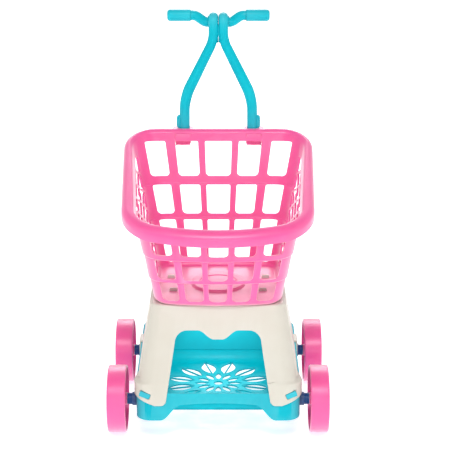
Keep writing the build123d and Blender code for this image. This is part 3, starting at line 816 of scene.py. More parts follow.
def step_tiers(piece, shape):
    """Moves the wall's skin in and out by its tiers."""
    lowest = shape.bottom + shape.sizes.wall + 4.9 * MM
    for corner in piece.data.vertices:
        y = corner.co.y - FRONT_AXLE.y
        top = shape.rim_z(y) - shape.sizes.rim_inner_round * 0.9
        outside = abs(corner.co.x) > shape.half(corner.co.z) + MM
        if lowest < corner.co.z < top and not outside:
            away = Vector((corner.normal.x, corner.normal.y, 0)).normalized()
            corner.co -= away * shape.tier_shift(corner.co.z)


def window(shape, near, far, low, high, reference, y0, y1):
    """Cutter of one window: narrower towards the floor, with round lower corners."""
    piece = slab("window", spot(0, y0, low), spot(MM, y1, high))
    for corner in piece.data.vertices:
        edge = near if corner.co.x < MM / 2 else far
        corner.co.x = edge * shape.half(corner.co.z) / shape.half(reference)
    middle_z = (low + high) / 2
    round_edges(piece, lambda edge: runs_along(edge, "y") and edge_middle(edge).z < middle_z,
                5.5 * MM)
    round_edges(piece, lambda edge: runs_along(edge, "y") and edge_middle(edge).z > middle_z,
                2 * MM, 3)
    return piece


def window_grid(shape, columns, reference_rise, rows, y0, y1):
    """Cutters of a wall's windows, both sides of the middle."""
    cutters = []
    for low, high in rows:
        for near, far in columns:
            spans = [(near, far)] if near < 0 else [(near, far), (-far, -near)]
            for left, right in spans:
                cutters.append(window(shape, left * MM, right * MM, low, high,
                                      shape.bottom + reference_rise * MM, y0 * MM, y1 * MM))
    return gather("windows", cutters)


def basket_windows(shape):
    """Cutters of all windows of the front and back walls."""
    levels = [(shape.bottom + low * MM, shape.bottom + high * MM) for low, high in WINDOW_RISES]
    under_rim = shape.bottom + shape.sizes.rim_front_rise - shape.sizes.rim_band - 2 * MM
    front_levels = [(low, min(high, under_rim)) for low, high in levels if low < under_rim]
    front = window_grid(shape, FRONT_WINDOWS, FRONT_WINDOWS_RISE, front_levels, -110, 40)
    back = window_grid(shape, BACK_WINDOWS, BACK_WINDOWS_RISE, levels, 60, 167)
    return gather("windows", [front, back])


def lattice_cells(shape):
    """Cutters of the side lattice: diamonds trimmed to a frame that follows the wall."""
    group = shape.sizes
    long_half = group.cell_length / 2
    high_half = group.cell_height / 2
    across = long_half * high_half / math.hypot(long_half, high_half)
    shrink = (across - group.strut / 2) / across
    middle_y = (group.front_y + group.back_y) / 2
    cells = []
    for row in range(16):
        z = shape.bottom + (6 * MM) + row * high_half
        for column in range(-3, 4):
            y = middle_y + (column + 0.5 * (row % 2)) * group.cell_length
            cell = drum("cell", spot(0, y, z), long_half * shrink, 0.4, "X", 4)
            # A drum of four sides has its corners on the diagonals, and a diamond hasn't.
            turn = Matrix.Rotation(math.radians(45), 4, "X")
            centre = spot(0, y, z)
            for corner in cell.data.vertices:
                flat = corner.co - centre
                if abs(abs(flat.y) - abs(flat.z)) < MM:
                    flat = turn @ flat
                corner.co = centre + Vector((flat.x, flat.y, flat.z * high_half / long_half))
            cells.append(cell)
    cells = gather("cells", cells)
    return combine(cells, lattice_frame(shape), "INTERSECT")


def lattice_frame(shape):
    """The part of the side wall that the lattice fills."""
    group = shape.sizes
    margin = 21 * MM
    low = shape.bottom + 8 * MM

    def place(along, row):
        y_low = shape.front(low) + margin + along * (
            shape.back(low) - shape.front(low) - 2 * margin)
        if row == 0:
            return spot(-0.2, y_low, low)
        top = shape.bottom + 150 * MM
        for _ in range(12):
            y_top = shape.front(top) + margin + along * (
                shape.back(top) - shape.front(top) - 2 * margin)
            top = shape.rim_z(y_top) - group.rim_band - 4 * MM
        return spot(-0.2, y_top, top)
    return strip("lattice_frame", 1, place, (0.4, 0, 0))


def socket_top():
    """Height of the sockets' flat tops."""
    return BASKET_LOW.z + sizes("basket").rim_back_rise - sizes("handle").socket_below_rim


def handle_socket(shape, side):
    """A flanged socket behind the rim, with the web that carries it."""
    group = sizes("handle")
    top = socket_top()
    bottom = top - group.socket_depth - 3 * MM
    x = side * group.socket_x
    shoulder = top - group.flange
    post = drum("socket", spot(x, group.socket_y, (bottom + shoulder) / 2),
                group.socket_radius, shoulder - bottom, "Z", 40)
    centre = spot(x, group.socket_y, shoulder)
    with editing(post):
        pick(post, "FACE", facing("+z", 0.9))
        bpy.ops.mesh.extrude_region_move(TRANSFORM_OT_translate={"value": (0, 0, 0.4 * MM)})
        grow = group.flange_radius / group.socket_radius
        bpy.ops.transform.resize(value=(grow, grow, 1), center_override=centre)
        bpy.ops.mesh.extrude_region_move(
            TRANSFORM_OT_translate={"value": (0, 0, group.flange - 0.4 * MM)})
    half = group.socket_radius * 0.92
    web = slab("web", spot(x - half, shape.back(bottom) - 1.4 * MM, bottom + 0.5 * MM),
               spot(x + half, group.socket_y, shoulder - 0.5 * MM))
    weld(post, web)
    return post


def tongue_blocks(z, reach):
    """A block at each of the stand's tongues, centred on a height, with its half sizes."""
    blocks = []
    for x, y in TONGUES:
        for side in SIDES.values():
            centre = spot(side * x * MM, y * MM, z)
            blocks.append(slab("tongue", centre - reach, centre + reach))
    return blocks


def tongue_slots(shape):
    """Slots of the floor that the stand's tongues pass."""
    return gather("slots", tongue_blocks(shape.bottom, Vector((5.5, 2.0, 6)) * MM))


def floor_disc(shape):
    """The raised round step in the middle of the floor."""
    group = shape.sizes
    height = group.wall + group.disc_rise
    disc = drum("disc", spot(0, 57 * MM, shape.bottom + height / 2), group.disc_radius,
                height, "Z", 64)
    top = shape.bottom + height
    with editing(disc):
        pick(disc, "EDGE", lambda edge: edge_middle(edge).z > top - 0.1 * MM)
        bpy.ops.mesh.bevel(offset=3 * MM, segments=4, affect="EDGES")
        pick(disc, "FACE", facing("+z"))
        bpy.ops.mesh.inset(thickness=8 * MM)
        bpy.ops.mesh.inset(thickness=1 * MM, depth=-1 * MM)
    return disc


def make_basket():
    """The whole basket, cut, rounded, painted and mounted."""
    shape = BasketShape()
    piece = basket_skin(shape)
    for side in SIDES.values():
        combine(piece, handle_socket(shape, side), "UNION", untangle=True)
    inside = sheet_core(shape)
    cut(piece, inside, basket_windows(shape), lattice_cells(shape))
    weld(piece, floor_disc(shape))
    group = sizes("handle")
    for side in SIDES.values():
        centre = spot(side * group.tube_x, group.socket_y, socket_top())
        cut(piece, drum("bore", centre, group.tube_below + 0.4 * MM,
                        2 * group.socket_depth - 4 * MM, "Z", 40))
    cut(piece, tongue_slots(shape))
    soften(piece, sizes("plastics").softness)
    return finish(piece, "basket_moulded", plastic("pink"), "pink_plastic", "basket")


def sheet_core(shape):
    """The space inside the wall at the back, which clears the sockets' webs."""
    group = shape.sizes
    low = shape.bottom + 120 * MM
    high = shape.bottom + group.rim_back_rise - 6 * MM
    inset = group.wall + 0.8 * MM
    return closed("core", [lambda column, z=z: shape.wall(column, z, inset)
                           for z in (low, high)])


# --- stand ---
def stand_spot(column, z, foot, inset):
    """The stand's skin at a column and height, moved inwards by inset.

    Foot is how far it flares into its shoe."""
    group = sizes("stand")
    rise = (z - group.ledge_z) / (stand_top() - group.ledge_z)
    wall = sizes("tray").wall
    half = group.foot_half + (group.top_half - group.foot_half) * rise
    front_low = sizes("tray").front_y - wall
    front = front_low + (group.top_front_y - front_low) * rise
    back = group.foot_back_y + (group.top_back_y - group.foot_back_y) * rise
    corner = group.foot_corner + (group.top_corner - group.foot_corner) * rise
    leaning = outline(column, half - inset, front + inset, back - inset, 0, corner - inset)
    shoe = outline(column, sizes("tray").half + wall - inset, front_low + inset,
                   group.foot_back_y - inset, 0, sizes("tray").corner + wall - inset)
    behind = smooth_step((leaning.y + 14 * MM) / (9 * MM))
    flat = leaning.lerp(shoe, foot * (1 - behind))
    return spot(flat.x, flat.y, z)


def stand_top():
    """Height of the stand's flat top, below its tongues."""
    return STAND_HIGH.z - 7 * MM


def stand_solid(inset, top):
    """The stand's outer form, or its inside when inset is a wall's thickness."""
    group = sizes("stand")
    ledge = group.ledge_z
    levels = [(STAND_LOW.z - inset, 1.0, inset)]
    levels += [(ledge + rise * MM, foot, inset) for rise, foot in SHOE_FLARE]
    edge = 3 * MM
    levels += [(top - edge * below, 0.0, inset + edge * beside)
               for below, beside in quarter(3)]
    rows = [lambda column, level=level: stand_spot(column, *level) for level in levels]
    return closed("stand", rows)


def stand_skin():
    """The stand's shell: flared feet, leaning walls with proud panels and a flat top."""
    group = sizes("stand")
    piece = stand_solid(0, stand_top())
    raise_side_panels(piece)
    cut(piece, stand_solid(group.wall, stand_top() - group.wall))
    return piece


def raise_side_panels(piece):
    """Lets the flat sides stand a little proud of the rounded front and back."""
    group = sizes("stand")
    top = stand_top()

    def on_side(face):
        centre = face.calc_center_median()
        low = group.ledge_z + 14 * MM
        return abs(face.normal.x) > 0.95 and low < centre.z < top - 3 * MM
    with editing(piece):
        pick(piece, "FACE", on_side)
        bpy.ops.mesh.inset(thickness=0.8 * MM, depth=group.panel_step)


def arch(name, low, y0, y1):
    """Cutter of an arch with round upper corners and a soft dip in its middle."""
    group = sizes("stand")
    top = stand_top() - group.arch_top
    half = group.arch_half

    dip_half, dip_slope = 27 * MM, 21 * MM

    def place(along, row):
        x = half * (1 - math.cos(math.pi * along)) - half
        if row == 0:
            spread = 1 + group.arch_spread * (top - low) / half
            return spot(x * spread, y0, low)
        over = abs(x) - (half - group.arch_round)
        z = top - group.arch_dip * smooth_step((dip_half - abs(x)) / dip_slope)
        if over > 0:
            z = top - group.arch_round + math.sqrt(max(0, group.arch_round ** 2 - over ** 2))
        return spot(x, y0, z)
    return strip(name, 64, place, (0, y1 - y0, 0))


def foot_trims():
    """Cutters that leave only the front feet below the ledge, with slanting soles."""
    group = sizes("stand")
    low = STAND_LOW.z - 5 * MM
    wide = 0.14
    front, reach = -0.07, 0.15
    behind = slab("behind_feet", spot(-wide, FOOT_BACK * MM, low),
                  spot(wide, 0.25, group.ledge_z))
    round_edges(behind, lambda edge: runs_along(edge, "x")
                and edge_middle(edge).z > low + MM
                and edge_middle(edge).y < FRONT_AXLE.y, 8 * MM)
    cutters = [behind]
    for side in SIDES.values():
        def heel(along, row, side=side):
            turn = math.pi / 2 * along
            x = HEEL_EDGE * MM
            if row == 0:
                return spot(side * (x - MM), front, STAND_LOW.z - MM)
            return spot(side * (x + HEEL_ROUND * MM * (1 - math.sin(turn))), front,
                        STAND_LOW.z + HEEL_ROUND * MM * (1 - math.cos(turn)))
        cutters.append(strip("heel", 8, heel, (0, reach, 0)))

        def sole(along, row, side=side):
            x = (SLANT_START + 40 * along) * MM
            rise = max(0.0, x - SLANT_START * MM) * math.tan(math.radians(SLANT))
            return spot(side * x, front, STAND_LOW.z - 4 * MM if row == 0
                        else STAND_LOW.z + rise)
        cutters.append(strip("sole", 8, sole, (0, reach, 0)))
    return cutters


def tab_slots(grow):
    """Slots of the front feet, or the tabs that fill them when grow is negative."""
    slots = []
    tray = sizes("tray")
    for side in SIDES.values():
        centre = spot(side * (tray.half - 12.5 * MM), tray.front_y - tray.wall, 0)
        centre.z = tray.ledge_z - 15 * MM
        reach = Vector((8 * MM + grow, 6 * MM, 4.2 * MM + grow))
        slot = slab("slot", centre - reach, centre + reach)
        round_edges(slot, lambda edge: runs_along(edge, "y"), 1.6 * MM, 3)
        slot.data.transform(about(centre, Matrix.Rotation(math.radians(-SLANT * side), 4, "Y")))
        slots.append(slot)
    return slots


def clip_window(near, far, gap):
    """A block in a clip's window, from near to far along X, with a gap all round."""
    ledge = sizes("tray").ledge_z
    y = sizes("stand").foot_back_y - CLIP_WINDOW * MM
    half = CLIP_WINDOW_HALF * MM - gap
    return slab("clip_window", spot(near, y - half, ledge - CLIP_WINDOW_LOW * MM + gap),
                spot(far, y + half, ledge - CLIP_WINDOW_HIGH * MM - gap))


def side_clip(side):
    """The clip that grips the tray's side behind the stand, with its window."""
    group = sizes("stand")
    tray = sizes("tray")
    low = tray.ledge_z - CLIP_DROP * MM
    front = group.foot_back_y - CLIP_LENGTH * MM
    near = group.foot_half - 3 * MM
    far = tray.half + group.wall
    clip = slab("clip", spot(near, front, low), spot(far, group.foot_back_y,
                                                     tray.ledge_z + group.wall))
    round_edges(clip, lambda edge: runs_along(edge, "y")
                and edge_middle(edge).z > tray.ledge_z and edge_middle(edge).x > far - MM, 2 * MM)
    round_edges(clip, lambda edge: runs_along(edge, "x")
                and edge_middle(edge).z < low + MM, 4 * MM)
    cut(clip, slab("inside", spot(near - MM, front - MM, low - MM),
                   spot(tray.half, group.foot_back_y + MM, tray.ledge_z)))
    cut(clip, clip_window(near, far + MM, 0))
    if side > 0:
        return clip
    other = copied(clip, "clip", Matrix.Scale(-1, 4, (1, 0, 0)))
    remove(clip)
    return other


def tongues():
    """The tongues of the stand's top that hold the basket."""
    top = stand_top()
    pieces = tongue_blocks(top + 2.5 * MM, Vector((5, 1.5, 4.5)) * MM)
    for tongue in pieces:
        round_edges(tongue, lambda edge: edge_middle(edge).z > top + 5 * MM
                    and not runs_along(edge, "z"), MM, 2)
    return pieces


def make_stand():
    """The whole stand, cut, rounded, painted and mounted."""
    group = sizes("stand")
    piece = stand_skin()
    middle_y = (group.top_front_y + group.top_back_y) / 2
    cut(piece, arch("front_arch", STAND_LOW.z - 2 * MM, -0.1, middle_y),
        arch("back_arch", group.ledge_z - MM, middle_y, 0.2), *foot_trims(), *tab_slots(0))
    weld(piece, *(side_clip(side) for side in SIDES.values()), *tongues())
    soften(piece, sizes("plastics").softness)
    return finish(piece, "stand_moulded", plastic("ivory"), "ivory_plastic", "stand")


# --- tray ---
def tray_outline(half, front, back, corner, inset, z):
    """A row of the tray's form at a height, moved inwards by inset."""
    def place(column):
        flat = outline(column, half - inset, front + inset, back - inset, 0,
                       max(corner - inset, MM))
        return spot(flat.x, flat.y, z)
    return place


def tray_skin():
    """The tray's shell: a round-edged ledge, a coved recess and a hollow underside."""
    group = sizes("tray")
    back = REAR_AXLE.y - FRONT_AXLE.y + group.back_overhang
    outer = (group.half, group.front_y, back, group.corner)
    edge = 2 * MM
    rows = [tray_outline(*outer, 0, TRAY_LOW.z)]
    rows += [tray_outline(*outer, edge * beside, group.ledge_z - edge * below)
             for below, beside in quarter(3)]
    piece = closed("tray", rows)
    cut(piece, tray_hollow(outer), tray_recess())
    return piece


def tray_recess():
    """The space above the floor, coved where it meets the walls."""
    group = sizes("tray")
    recess = (group.half - group.ledge, group.front_y + group.wall, group.recess_back_y,
              group.recess_corner)
    rows = [tray_outline(*recess, 0, TRAY_HIGH.z + MM)]
    rows += [tray_outline(*recess, group.cove * beside, group.floor_z + group.cove * above)
             for above, beside in quarter(6)]
    return closed("recess", rows)


def tray_hollow(outer):
    """The space under the ledge and the floor."""
    group = sizes("tray")
    hollow = closed("hollow", [
        tray_outline(*outer, group.wall, TRAY_LOW.z - MM),
        tray_outline(*outer, group.wall, group.ledge_z - group.wall)])
    half = group.half - group.ledge + group.wall
    kept = closed("kept", [
        tray_outline(half, group.front_y, group.recess_back_y + group.wall,
                     group.recess_corner + group.wall, 0, z)
        for z in (group.floor_z - group.wall, group.ledge_z)])
    cut(hollow, kept)
    return hollow


def back_wall():
    """The raised wall behind the recess."""
    group = sizes("tray")
    half = group.half - group.ledge
    face = 0.25 * MM
    outer = slab("back_wall", spot(-half - group.wall, group.recess_back_y - 20 * MM,
                                   group.floor_z + group.cove),
                 spot(half + group.wall, group.recess_back_y + group.wall, TRAY_HIGH.z))
    inner = slab("inside", spot(face - half, group.recess_back_y - 40 * MM, group.floor_z),
                 spot(half - face, group.recess_back_y - face, TRAY_HIGH.z + MM))

    def upright_back(edge):
        return runs_along(edge, "z") and edge_middle(edge).y > FRONT_AXLE.y + 0.1
    round_edges(outer, upright_back, group.recess_corner + group.wall, 8)
    round_edges(inner, upright_back, group.recess_corner, 8)
    cut(outer, inner)
    return outer


def front_lip():
    """Cutter that lowers the front edge between the feet."""
    group = sizes("tray")
    half = group.half - group.ledge - 5 * MM
    low = spot(-half, group.front_y - MM, group.lip_z)
    high = spot(half, group.front_y + group.wall + 2.2 * MM, group.ledge_z + MM)
    lip = slab("lip", low, high)
    round_edges(lip, lambda edge: runs_along(edge, "y")
                and edge_middle(edge).z < group.lip_z + MM, 6 * MM)
    return lip


def skirt_arch():
    """Cutter of the long arch below the front lip."""
    group = sizes("tray")
    half = group.half - 35 * MM
    height, slope, crown = 20 * MM, 26 * MM, 6 * MM

    def place(along, row):
        x = half * (2 * along - 1)
        rise = (height * smooth_step((half - abs(x)) / slope)
                + crown * (1 - (x / half) ** 2))
        return spot(x, group.front_y - MM,
                    TRAY_LOW.z - MM if row == 0 else TRAY_LOW.z + rise)
    return strip("skirt_arch", 48, place, (0, group.wall + 2 * MM, 0))


def bulge(share_of_length):
    """A leaf's width at a share of its length, as a share of its widest."""
    return 4 * share_of_length * (1 - share_of_length)


def leaf(name, inner, outer, low, high):
    """Cutter of half a leaf along X between two radii."""
    group = sizes("tray")
    z = group.floor_z - 6 * MM

    def place(along, row):
        x = inner + (outer - inner) * along
        return spot(x, group.flower_y + (low if row == 0 else max(low, bulge(along) * high)), z)
    return strip(name, 14, place, (0, 0, 12 * MM))


def about(centre, matrix):
    """The same change, made about a spot in place of the origin."""
    return Matrix.Translation(centre) @ matrix @ Matrix.Translation(-centre)


def flower():
    """Cutters of the flower: split petals, drops between them and an eye."""
    group = sizes("tray")
    centre = spot(0, group.flower_y, 0)
    rib = group.petal_rib / 2
    upper = leaf("petal", group.petal_inner, group.petal_outer, rib, group.petal_width / 2)
    lower = copied(upper, "petal", about(centre, Matrix.Scale(-1, 4, (0, 1, 0))))
    drop = leaf("drop", group.drop_inner, group.drop_outer, -group.drop_width / 2,
                group.drop_width / 2)
    for corner in drop.data.vertices:
        along = (corner.co.x - group.drop_inner) / (group.drop_outer - group.drop_inner)
        narrow = bulge(min(1, max(0, along)))
        side = 1 if corner.co.y > centre.y else -1
        corner.co.y = centre.y + side * (group.drop_width / 2 * narrow + 0.05 * MM)
    cutters = []
    for number in range(group.petals):
        for source, shift in ((upper, 0.5), (lower, 0.5), (drop, 0)):
            angle = 2 * math.pi * (number + shift) / group.petals
            cutters.append(copied(source, "leaf", about(centre, Matrix.Rotation(angle, 4, "Z"))))
    for source in (upper, lower, drop):
        remove(source)
    cutters.append(drum("eye", spot(0, group.flower_y, group.floor_z), group.eye,
                        12 * MM, "Z", 32))
    return gather("flower", cutters)


def axle_hole(axle):
    """Cutter of an axle's hole through the whole tray."""
    return drum("axle_hole", axle, 2.5 * MM, 0.4, "X", 32)


def axle_channel(axle):
    """The ribbed channel below the floor that holds an axle."""
    group = sizes("tray")
    reach = 10 * MM
    inside = group.half - group.wall / 2
    low = Vector((-inside, axle.y - reach, TRAY_LOW.z))
    high = Vector((inside, axle.y + reach, group.floor_z - group.wall / 2))
    channel = slab("channel", low, high)
    with editing(channel):
        pick(channel, "FACE", facing("-z", 0.9))
        bpy.ops.mesh.inset(thickness=group.wall)
        bpy.ops.transform.resize(value=((inside - 12 * MM) / (inside - group.wall), 1, 1),
                                 center_override=Vector((0, axle.y, TRAY_LOW.z)))
        bpy.ops.mesh.extrude_region_move(
            TRANSFORM_OT_translate={"value": (0, 0, high.z - low.z - group.wall)})
    cut(channel, axle_hole(axle))
    return channel


def tray_tabs():
    """The tabs that fill the slots of the stand's feet and clips."""
    group = sizes("tray")
    tabs = []
    for tab in tab_slots(-0.5 * MM):
        low = spot(-0.2, group.front_y - group.wall + 0.1 * MM, 0)
        high = spot(0.2, group.front_y + group.wall / 2, 0.2)
        tabs.append(combine(tab, slab("depth", low, high), "INTERSECT"))
    for side in SIDES.values():
        inner = side * (group.half - group.wall / 2)
        outer = side * (group.half + group.wall - 0.1 * MM)
        tabs.append(clip_window(min(inner, outer), max(inner, outer), 0.5 * MM))
    return tabs


def make_tray():
    """The whole tray, cut, rounded, painted and mounted."""
    piece = tray_skin()
    weld(piece, back_wall())
    cut(piece, front_lip(), skirt_arch(), flower())
    for axle in (FRONT_AXLE, REAR_AXLE):
        weld(piece, axle_channel(axle))
        cut(piece, axle_hole(axle))
    weld(piece, *tray_tabs())
    soften(piece, sizes("plastics").softness)
    return finish(piece, "tray_moulded", plastic("turquoise"), "turquoise_plastic", "tray")


# --- wheels, bushes, caps and axles ---
def make_wheel(node):
    """A right-hand wheel: a cup with a holed disc, a hub and a boss."""
    group = sizes("wheels")
    low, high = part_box(node)
    centre = (low + high) / 2
    radius = (high.z - low.z) / 2
    width = high.x - low.x
    wheel = drum("wheel", centre, radius, width, "X", 96)
    round_edges(wheel, lambda edge: len(edge.link_faces) == 2
                and any(len(face.verts) > 4 for face in edge.link_faces), group.edge, 4)
    back_depth = width - group.disc_inset - group.wall
    rim = max(0.4 * MM, group.wall - group.edge + 0.4 * MM)
    with editing(wheel):
        pick(wheel, "FACE", facing("+x"))
        bpy.ops.mesh.inset(thickness=rim)
        push(group.disc_inset - 1.5 * MM, -1)
        bpy.ops.mesh.inset(thickness=1.5 * MM)
        push(1.5 * MM, -1)
        bpy.ops.mesh.inset(thickness=radius - group.wall - 2 * MM - group.boss)
        push(2 * MM, 1)
        bpy.ops.mesh.inset(thickness=2.2 * MM)
        push(0.8 * MM, -1)
        pick(wheel, "FACE", facing("-x"))
        bpy.ops.mesh.inset(thickness=rim)
        push(back_depth, 1)
        bpy.ops.mesh.inset(thickness=radius - group.wall - group.hub)
        push(back_depth, -1)
    ring = (radius - group.wall + group.hub) / 2
    holes = []
    for number in range(group.holes):
        angle = 2 * math.pi * number / group.holes
        place = centre + Vector((0, math.sin(angle), math.cos(angle))) * ring
        holes.append(drum("hole", place, group.hole, 2 * width, "X", 32))
    cut(wheel, gather("holes", holes), drum("bore", centre, group.bore, 2 * width, "X", 32))
    soften(wheel, sizes("plastics").softness)
    return wheel


def push(distance, way):
    """Extrudes the selected faces along X, which is outwards for way 1."""
    bpy.ops.mesh.extrude_region_move(
        TRANSFORM_OT_translate={"value": (way * distance, 0, 0)})


def make_bush(node):
    """A stepped bush between the tray's side and the wheel's hub."""
    low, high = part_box(node)
    centre = (low + high) / 2
    radius = (high.z - low.z) / 2
    wide = (high.x - low.x) * 0.5
    start = Vector((low.x + wide / 2, centre.y, centre.z))
    bush = drum("bush", start, radius, wide, "X", 48)
    with editing(bush):
        pick(bush, "FACE", facing("+x"))
        bpy.ops.mesh.inset(thickness=radius - sizes("wheels").bush_neck)
        push(high.x - low.x - wide, 1)
    cut(bush, drum("bore", centre, sizes("wheels").bore, 0.1, "X", 32))
    return soften(bush, 0.6 * MM)


def make_cap(node):
    """A domed push-on cap on the axle's end, with a small collar."""
    low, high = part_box(node)
    centre = (low + high) / 2
    radius = (high.z - low.z) / 2
    length = high.x - low.x
    cap = drum("cap", centre, radius, length, "X", 48)
    round_edges(cap, lambda edge: edge_middle(edge).x > high.x - 0.1 * MM, length * 0.55, 6)
    with editing(cap):
        pick(cap, "FACE", facing("+x", 0.999))
        bpy.ops.mesh.inset(thickness=1.2 * MM)
        bpy.ops.mesh.inset(thickness=0.6 * MM, depth=-0.5 * MM)
    cut(cap, drum("bore", Vector((low.x, centre.y, centre.z)), sizes("wheels").bore,
                  2 * (length - 1.6 * MM), "X", 32))
    return soften(cap, 0.4 * MM)


def mounted_copies(source, kind, paint, slot, on_wheel):
    """Copies a right-hand front piece to all four wheels and paints and mounts each."""
    home = middle(f"{kind}_front_right")
    for end in ENDS:
        for side_name, side in SIDES.items():
            node = f"{kind}_{end}_{side_name}"
            there = middle(node)
            shift = Matrix.Translation(Vector((0, there.y - home.y, there.z - home.z)))
            matrix = Matrix.Scale(side, 4, (1, 0, 0)) @ shift
            piece = copied(source, node, matrix)
            body = f"{end}_{side_name}_wheel" if on_wheel else BODY
            finish(piece, f"{node}_moulded", plastic(paint), slot, node, body=body)
    remove(source)


# --- handle ---
def bent_route(corners, radii, steps=7):
    """A route through corners that are rounded by their radii."""
    route = [corners[0]]
    for before, corner, after, radius in zip(corners, corners[1:], corners[2:], radii):
        into = (corner - before).normalized()
        out = (after - corner).normalized()
        reach = radius * math.tan(into.angle(out) / 2)
        for number in range(steps + 1):
            route.append(rounded(corner - into * reach, corner, corner + out * reach,
                                 number / steps))
    route.append(corners[-1])
    return route


def tube(name, route, radius_at, sides=28):
    """A round tube along a route, carried round its bends without a twist."""
    ways = []
    for number in range(len(route)):
        before = route[max(0, number - 1)]
        after = route[min(len(route) - 1, number + 1)]
        ways.append((after - before).normalized())
    across = ways[0].orthogonal().normalized()
    frames = []
    for way in ways:
        across = (across - way * across.dot(way)).normalized()
        frames.append((across.copy(), way.cross(across)))

    def place(column, row):
        angle = 2 * math.pi * column / sides
        first, second = frames[row]
        return route[row] + (first * math.cos(angle) + second * math.sin(angle)) * radius_at(row)
    piece = sheet(name, sides, len(route) - 1, place)
    return close_ends(piece, *(lambda at, end=end: (at - end).length < 2 * radius_at(0)
                               for end in (route[0], route[-1])))


def make_handle():
    """The left half of the handle: tube, snap and web."""
    group = sizes("handle")
    top = socket_top()
    grip = middle("grip_left")
    grip_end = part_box("grip_left")[0].x + 4 * MM
    loop_z = top + LOOP * MM
    corners = [spot(-group.tube_x, group.socket_y, top - group.socket_depth + 2.5 * MM),
               spot(-group.tube_x, group.socket_y, top + FIRST_BEND * MM),
               spot(-group.pair_x, group.pair_y, top + MEETING * MM),
               spot(-group.pair_x, group.pair_y, top + CROWN * MM),
               spot(-group.pair_x, group.loop_y, loop_z),
               spot(-19 * MM, group.loop_y, loop_z),
               spot(-33 * MM, group.loop_y, grip.z),
               Vector((grip_end, grip.y, grip.z))]
    route = bent_route(corners, [radius * MM for radius in TUBE_BENDS])

    def radius_at(row):
        """From the foot's radius to the top's, with a swell between."""
        rise = min(1, max(0, (route[row].z - top) / (125 * MM)))
        return (group.tube_below + (group.tube_above - group.tube_below) * smooth_step(rise)
                + group.tube_swell * math.sin(math.pi * rise) ** 2)
    piece = tube("handle", route, radius_at)
    outer = -group.tube_x - group.tube_below
    snap = slab("snap", spot(outer - 4.8 * MM, group.socket_y - 3 * MM, top),
                spot(outer + 2 * MM, group.socket_y + 3 * MM, top + 19 * MM))
    round_edges(snap, lambda edge: edge_middle(edge).x < outer - 4 * MM
                and runs_along(edge, "y"), 4.5 * MM, 6)
    web = slab("web", spot(-group.pair_x - MM, group.pair_y - 2.5 * MM, top + 120 * MM),
               spot(-0.15 * MM, group.pair_y + 2.5 * MM, top + 146 * MM))
    weld(piece, snap, web)
    return soften(piece, 0.7 * MM)


def make_grip():
    """The left grip: a sleeve with a round outer end and a chamfered mouth."""
    low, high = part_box("grip_left")
    centre = (low + high) / 2
    radius = (high.z - low.z) / 2
    grip = drum("grip", centre, radius, high.x - low.x, "X", 48)
    round_edges(grip, lambda edge: edge_middle(edge).x < low.x + 0.1 * MM, 4.5 * MM, 6)
    round_edges(grip, lambda edge: edge_middle(edge).x > high.x - 0.1 * MM, 1.4 * MM, 2)
    cut(grip, drum("bore", centre + Vector((4.2 * MM, 0, 0)), sizes("handle").tube_above,
                   high.x - low.x, "X", 32))
    return soften(grip, 0.4 * MM)


# --- operators ---
DONE = {"FINISHED"}


class TROLLEY_OT_basket(Operator):
    """Models the pink basket with its windows, lattice, rim and sockets"""
    bl_idname = "trolley.basket"
    bl_label = "Basket"

    def execute(self, context):
        make_basket()
        return DONE


class TROLLEY_OT_stand(Operator):
    """Models the ivory stand with its arches, feet and clips"""
    bl_idname = "trolley.stand"
    bl_label = "Stand"

    def execute(self, context):
        make_stand()
        return DONE


class TROLLEY_OT_tray(Operator):
    """Models the turquoise tray with its flower, lip and axle channels"""
    bl_idname = "trolley.tray"
    bl_label = "Tray"

    def execute(self, context):
        make_tray()
        return DONE


class TROLLEY_OT_wheels(Operator):
    """Models one wheel and copies it to the four axle ends"""
    bl_idname = "trolley.wheels"
    bl_label = "Wheels"

    def execute(self, context):
        wheel = make_wheel("wheel_front_right")
        mounted_copies(wheel, "wheel", "pink", "wheel_plastic", True)
        return DONE


class TROLLEY_OT_axle_fittings(Operator):
    """Models the bushes and caps and gives the axles their steel"""
    bl_idname = "trolley.axle_fittings"
    bl_label = "Axles, bushes and caps"

    def execute(self, context):
        bush = make_bush("axle_bush_front_right")
        # The bushes' navy is painted shade, standing in for turquoise in deep shade beside the
        # wheels.
        mounted_copies(bush, "axle_bush", "navy", "bush_plastic", False)
        cap = make_cap("axle_cap_front_right")
        mounted_copies(cap, "axle_cap", "turquoise", "cap_plastic", False)
        steel = drawn_steel("trolley_axle_steel", tuple(sizes("plastics").steel))
        for end in ENDS:
            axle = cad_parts[f"axle_{end}"]
            axle.data.materials.clear()
            axle.data.materials.append(steel)
        return DONE


class TROLLEY_OT_handle(Operator):
    """Models one half of the handle and its grip, and mirrors them"""
    bl_idname = "trolley.handle"
    bl_label = "Handle and grips"

    def execute(self, context):
        across = Matrix.Scale(-1, 4, (1, 0, 0))
        for source, kind in ((make_handle(), "handle"), (make_grip(), "grip")):
            halves = {"left": source, "right": copied(source, kind, across)}
            for side, piece in halves.items():
                finish(piece, f"{kind}_{side}_moulded", plastic("turquoise"),
                       "turquoise_plastic", f"{kind}_{side}")
        return DONE


class TROLLEY_OT_studio(Operator):
    """Adds the pale floor, the soft light and the camera"""
    bl_idname = "trolley.studio"
    bl_label = "Studio"

    def execute(self, context):
        add_floor()
        add_lights()
        add_camera()
        return DONE


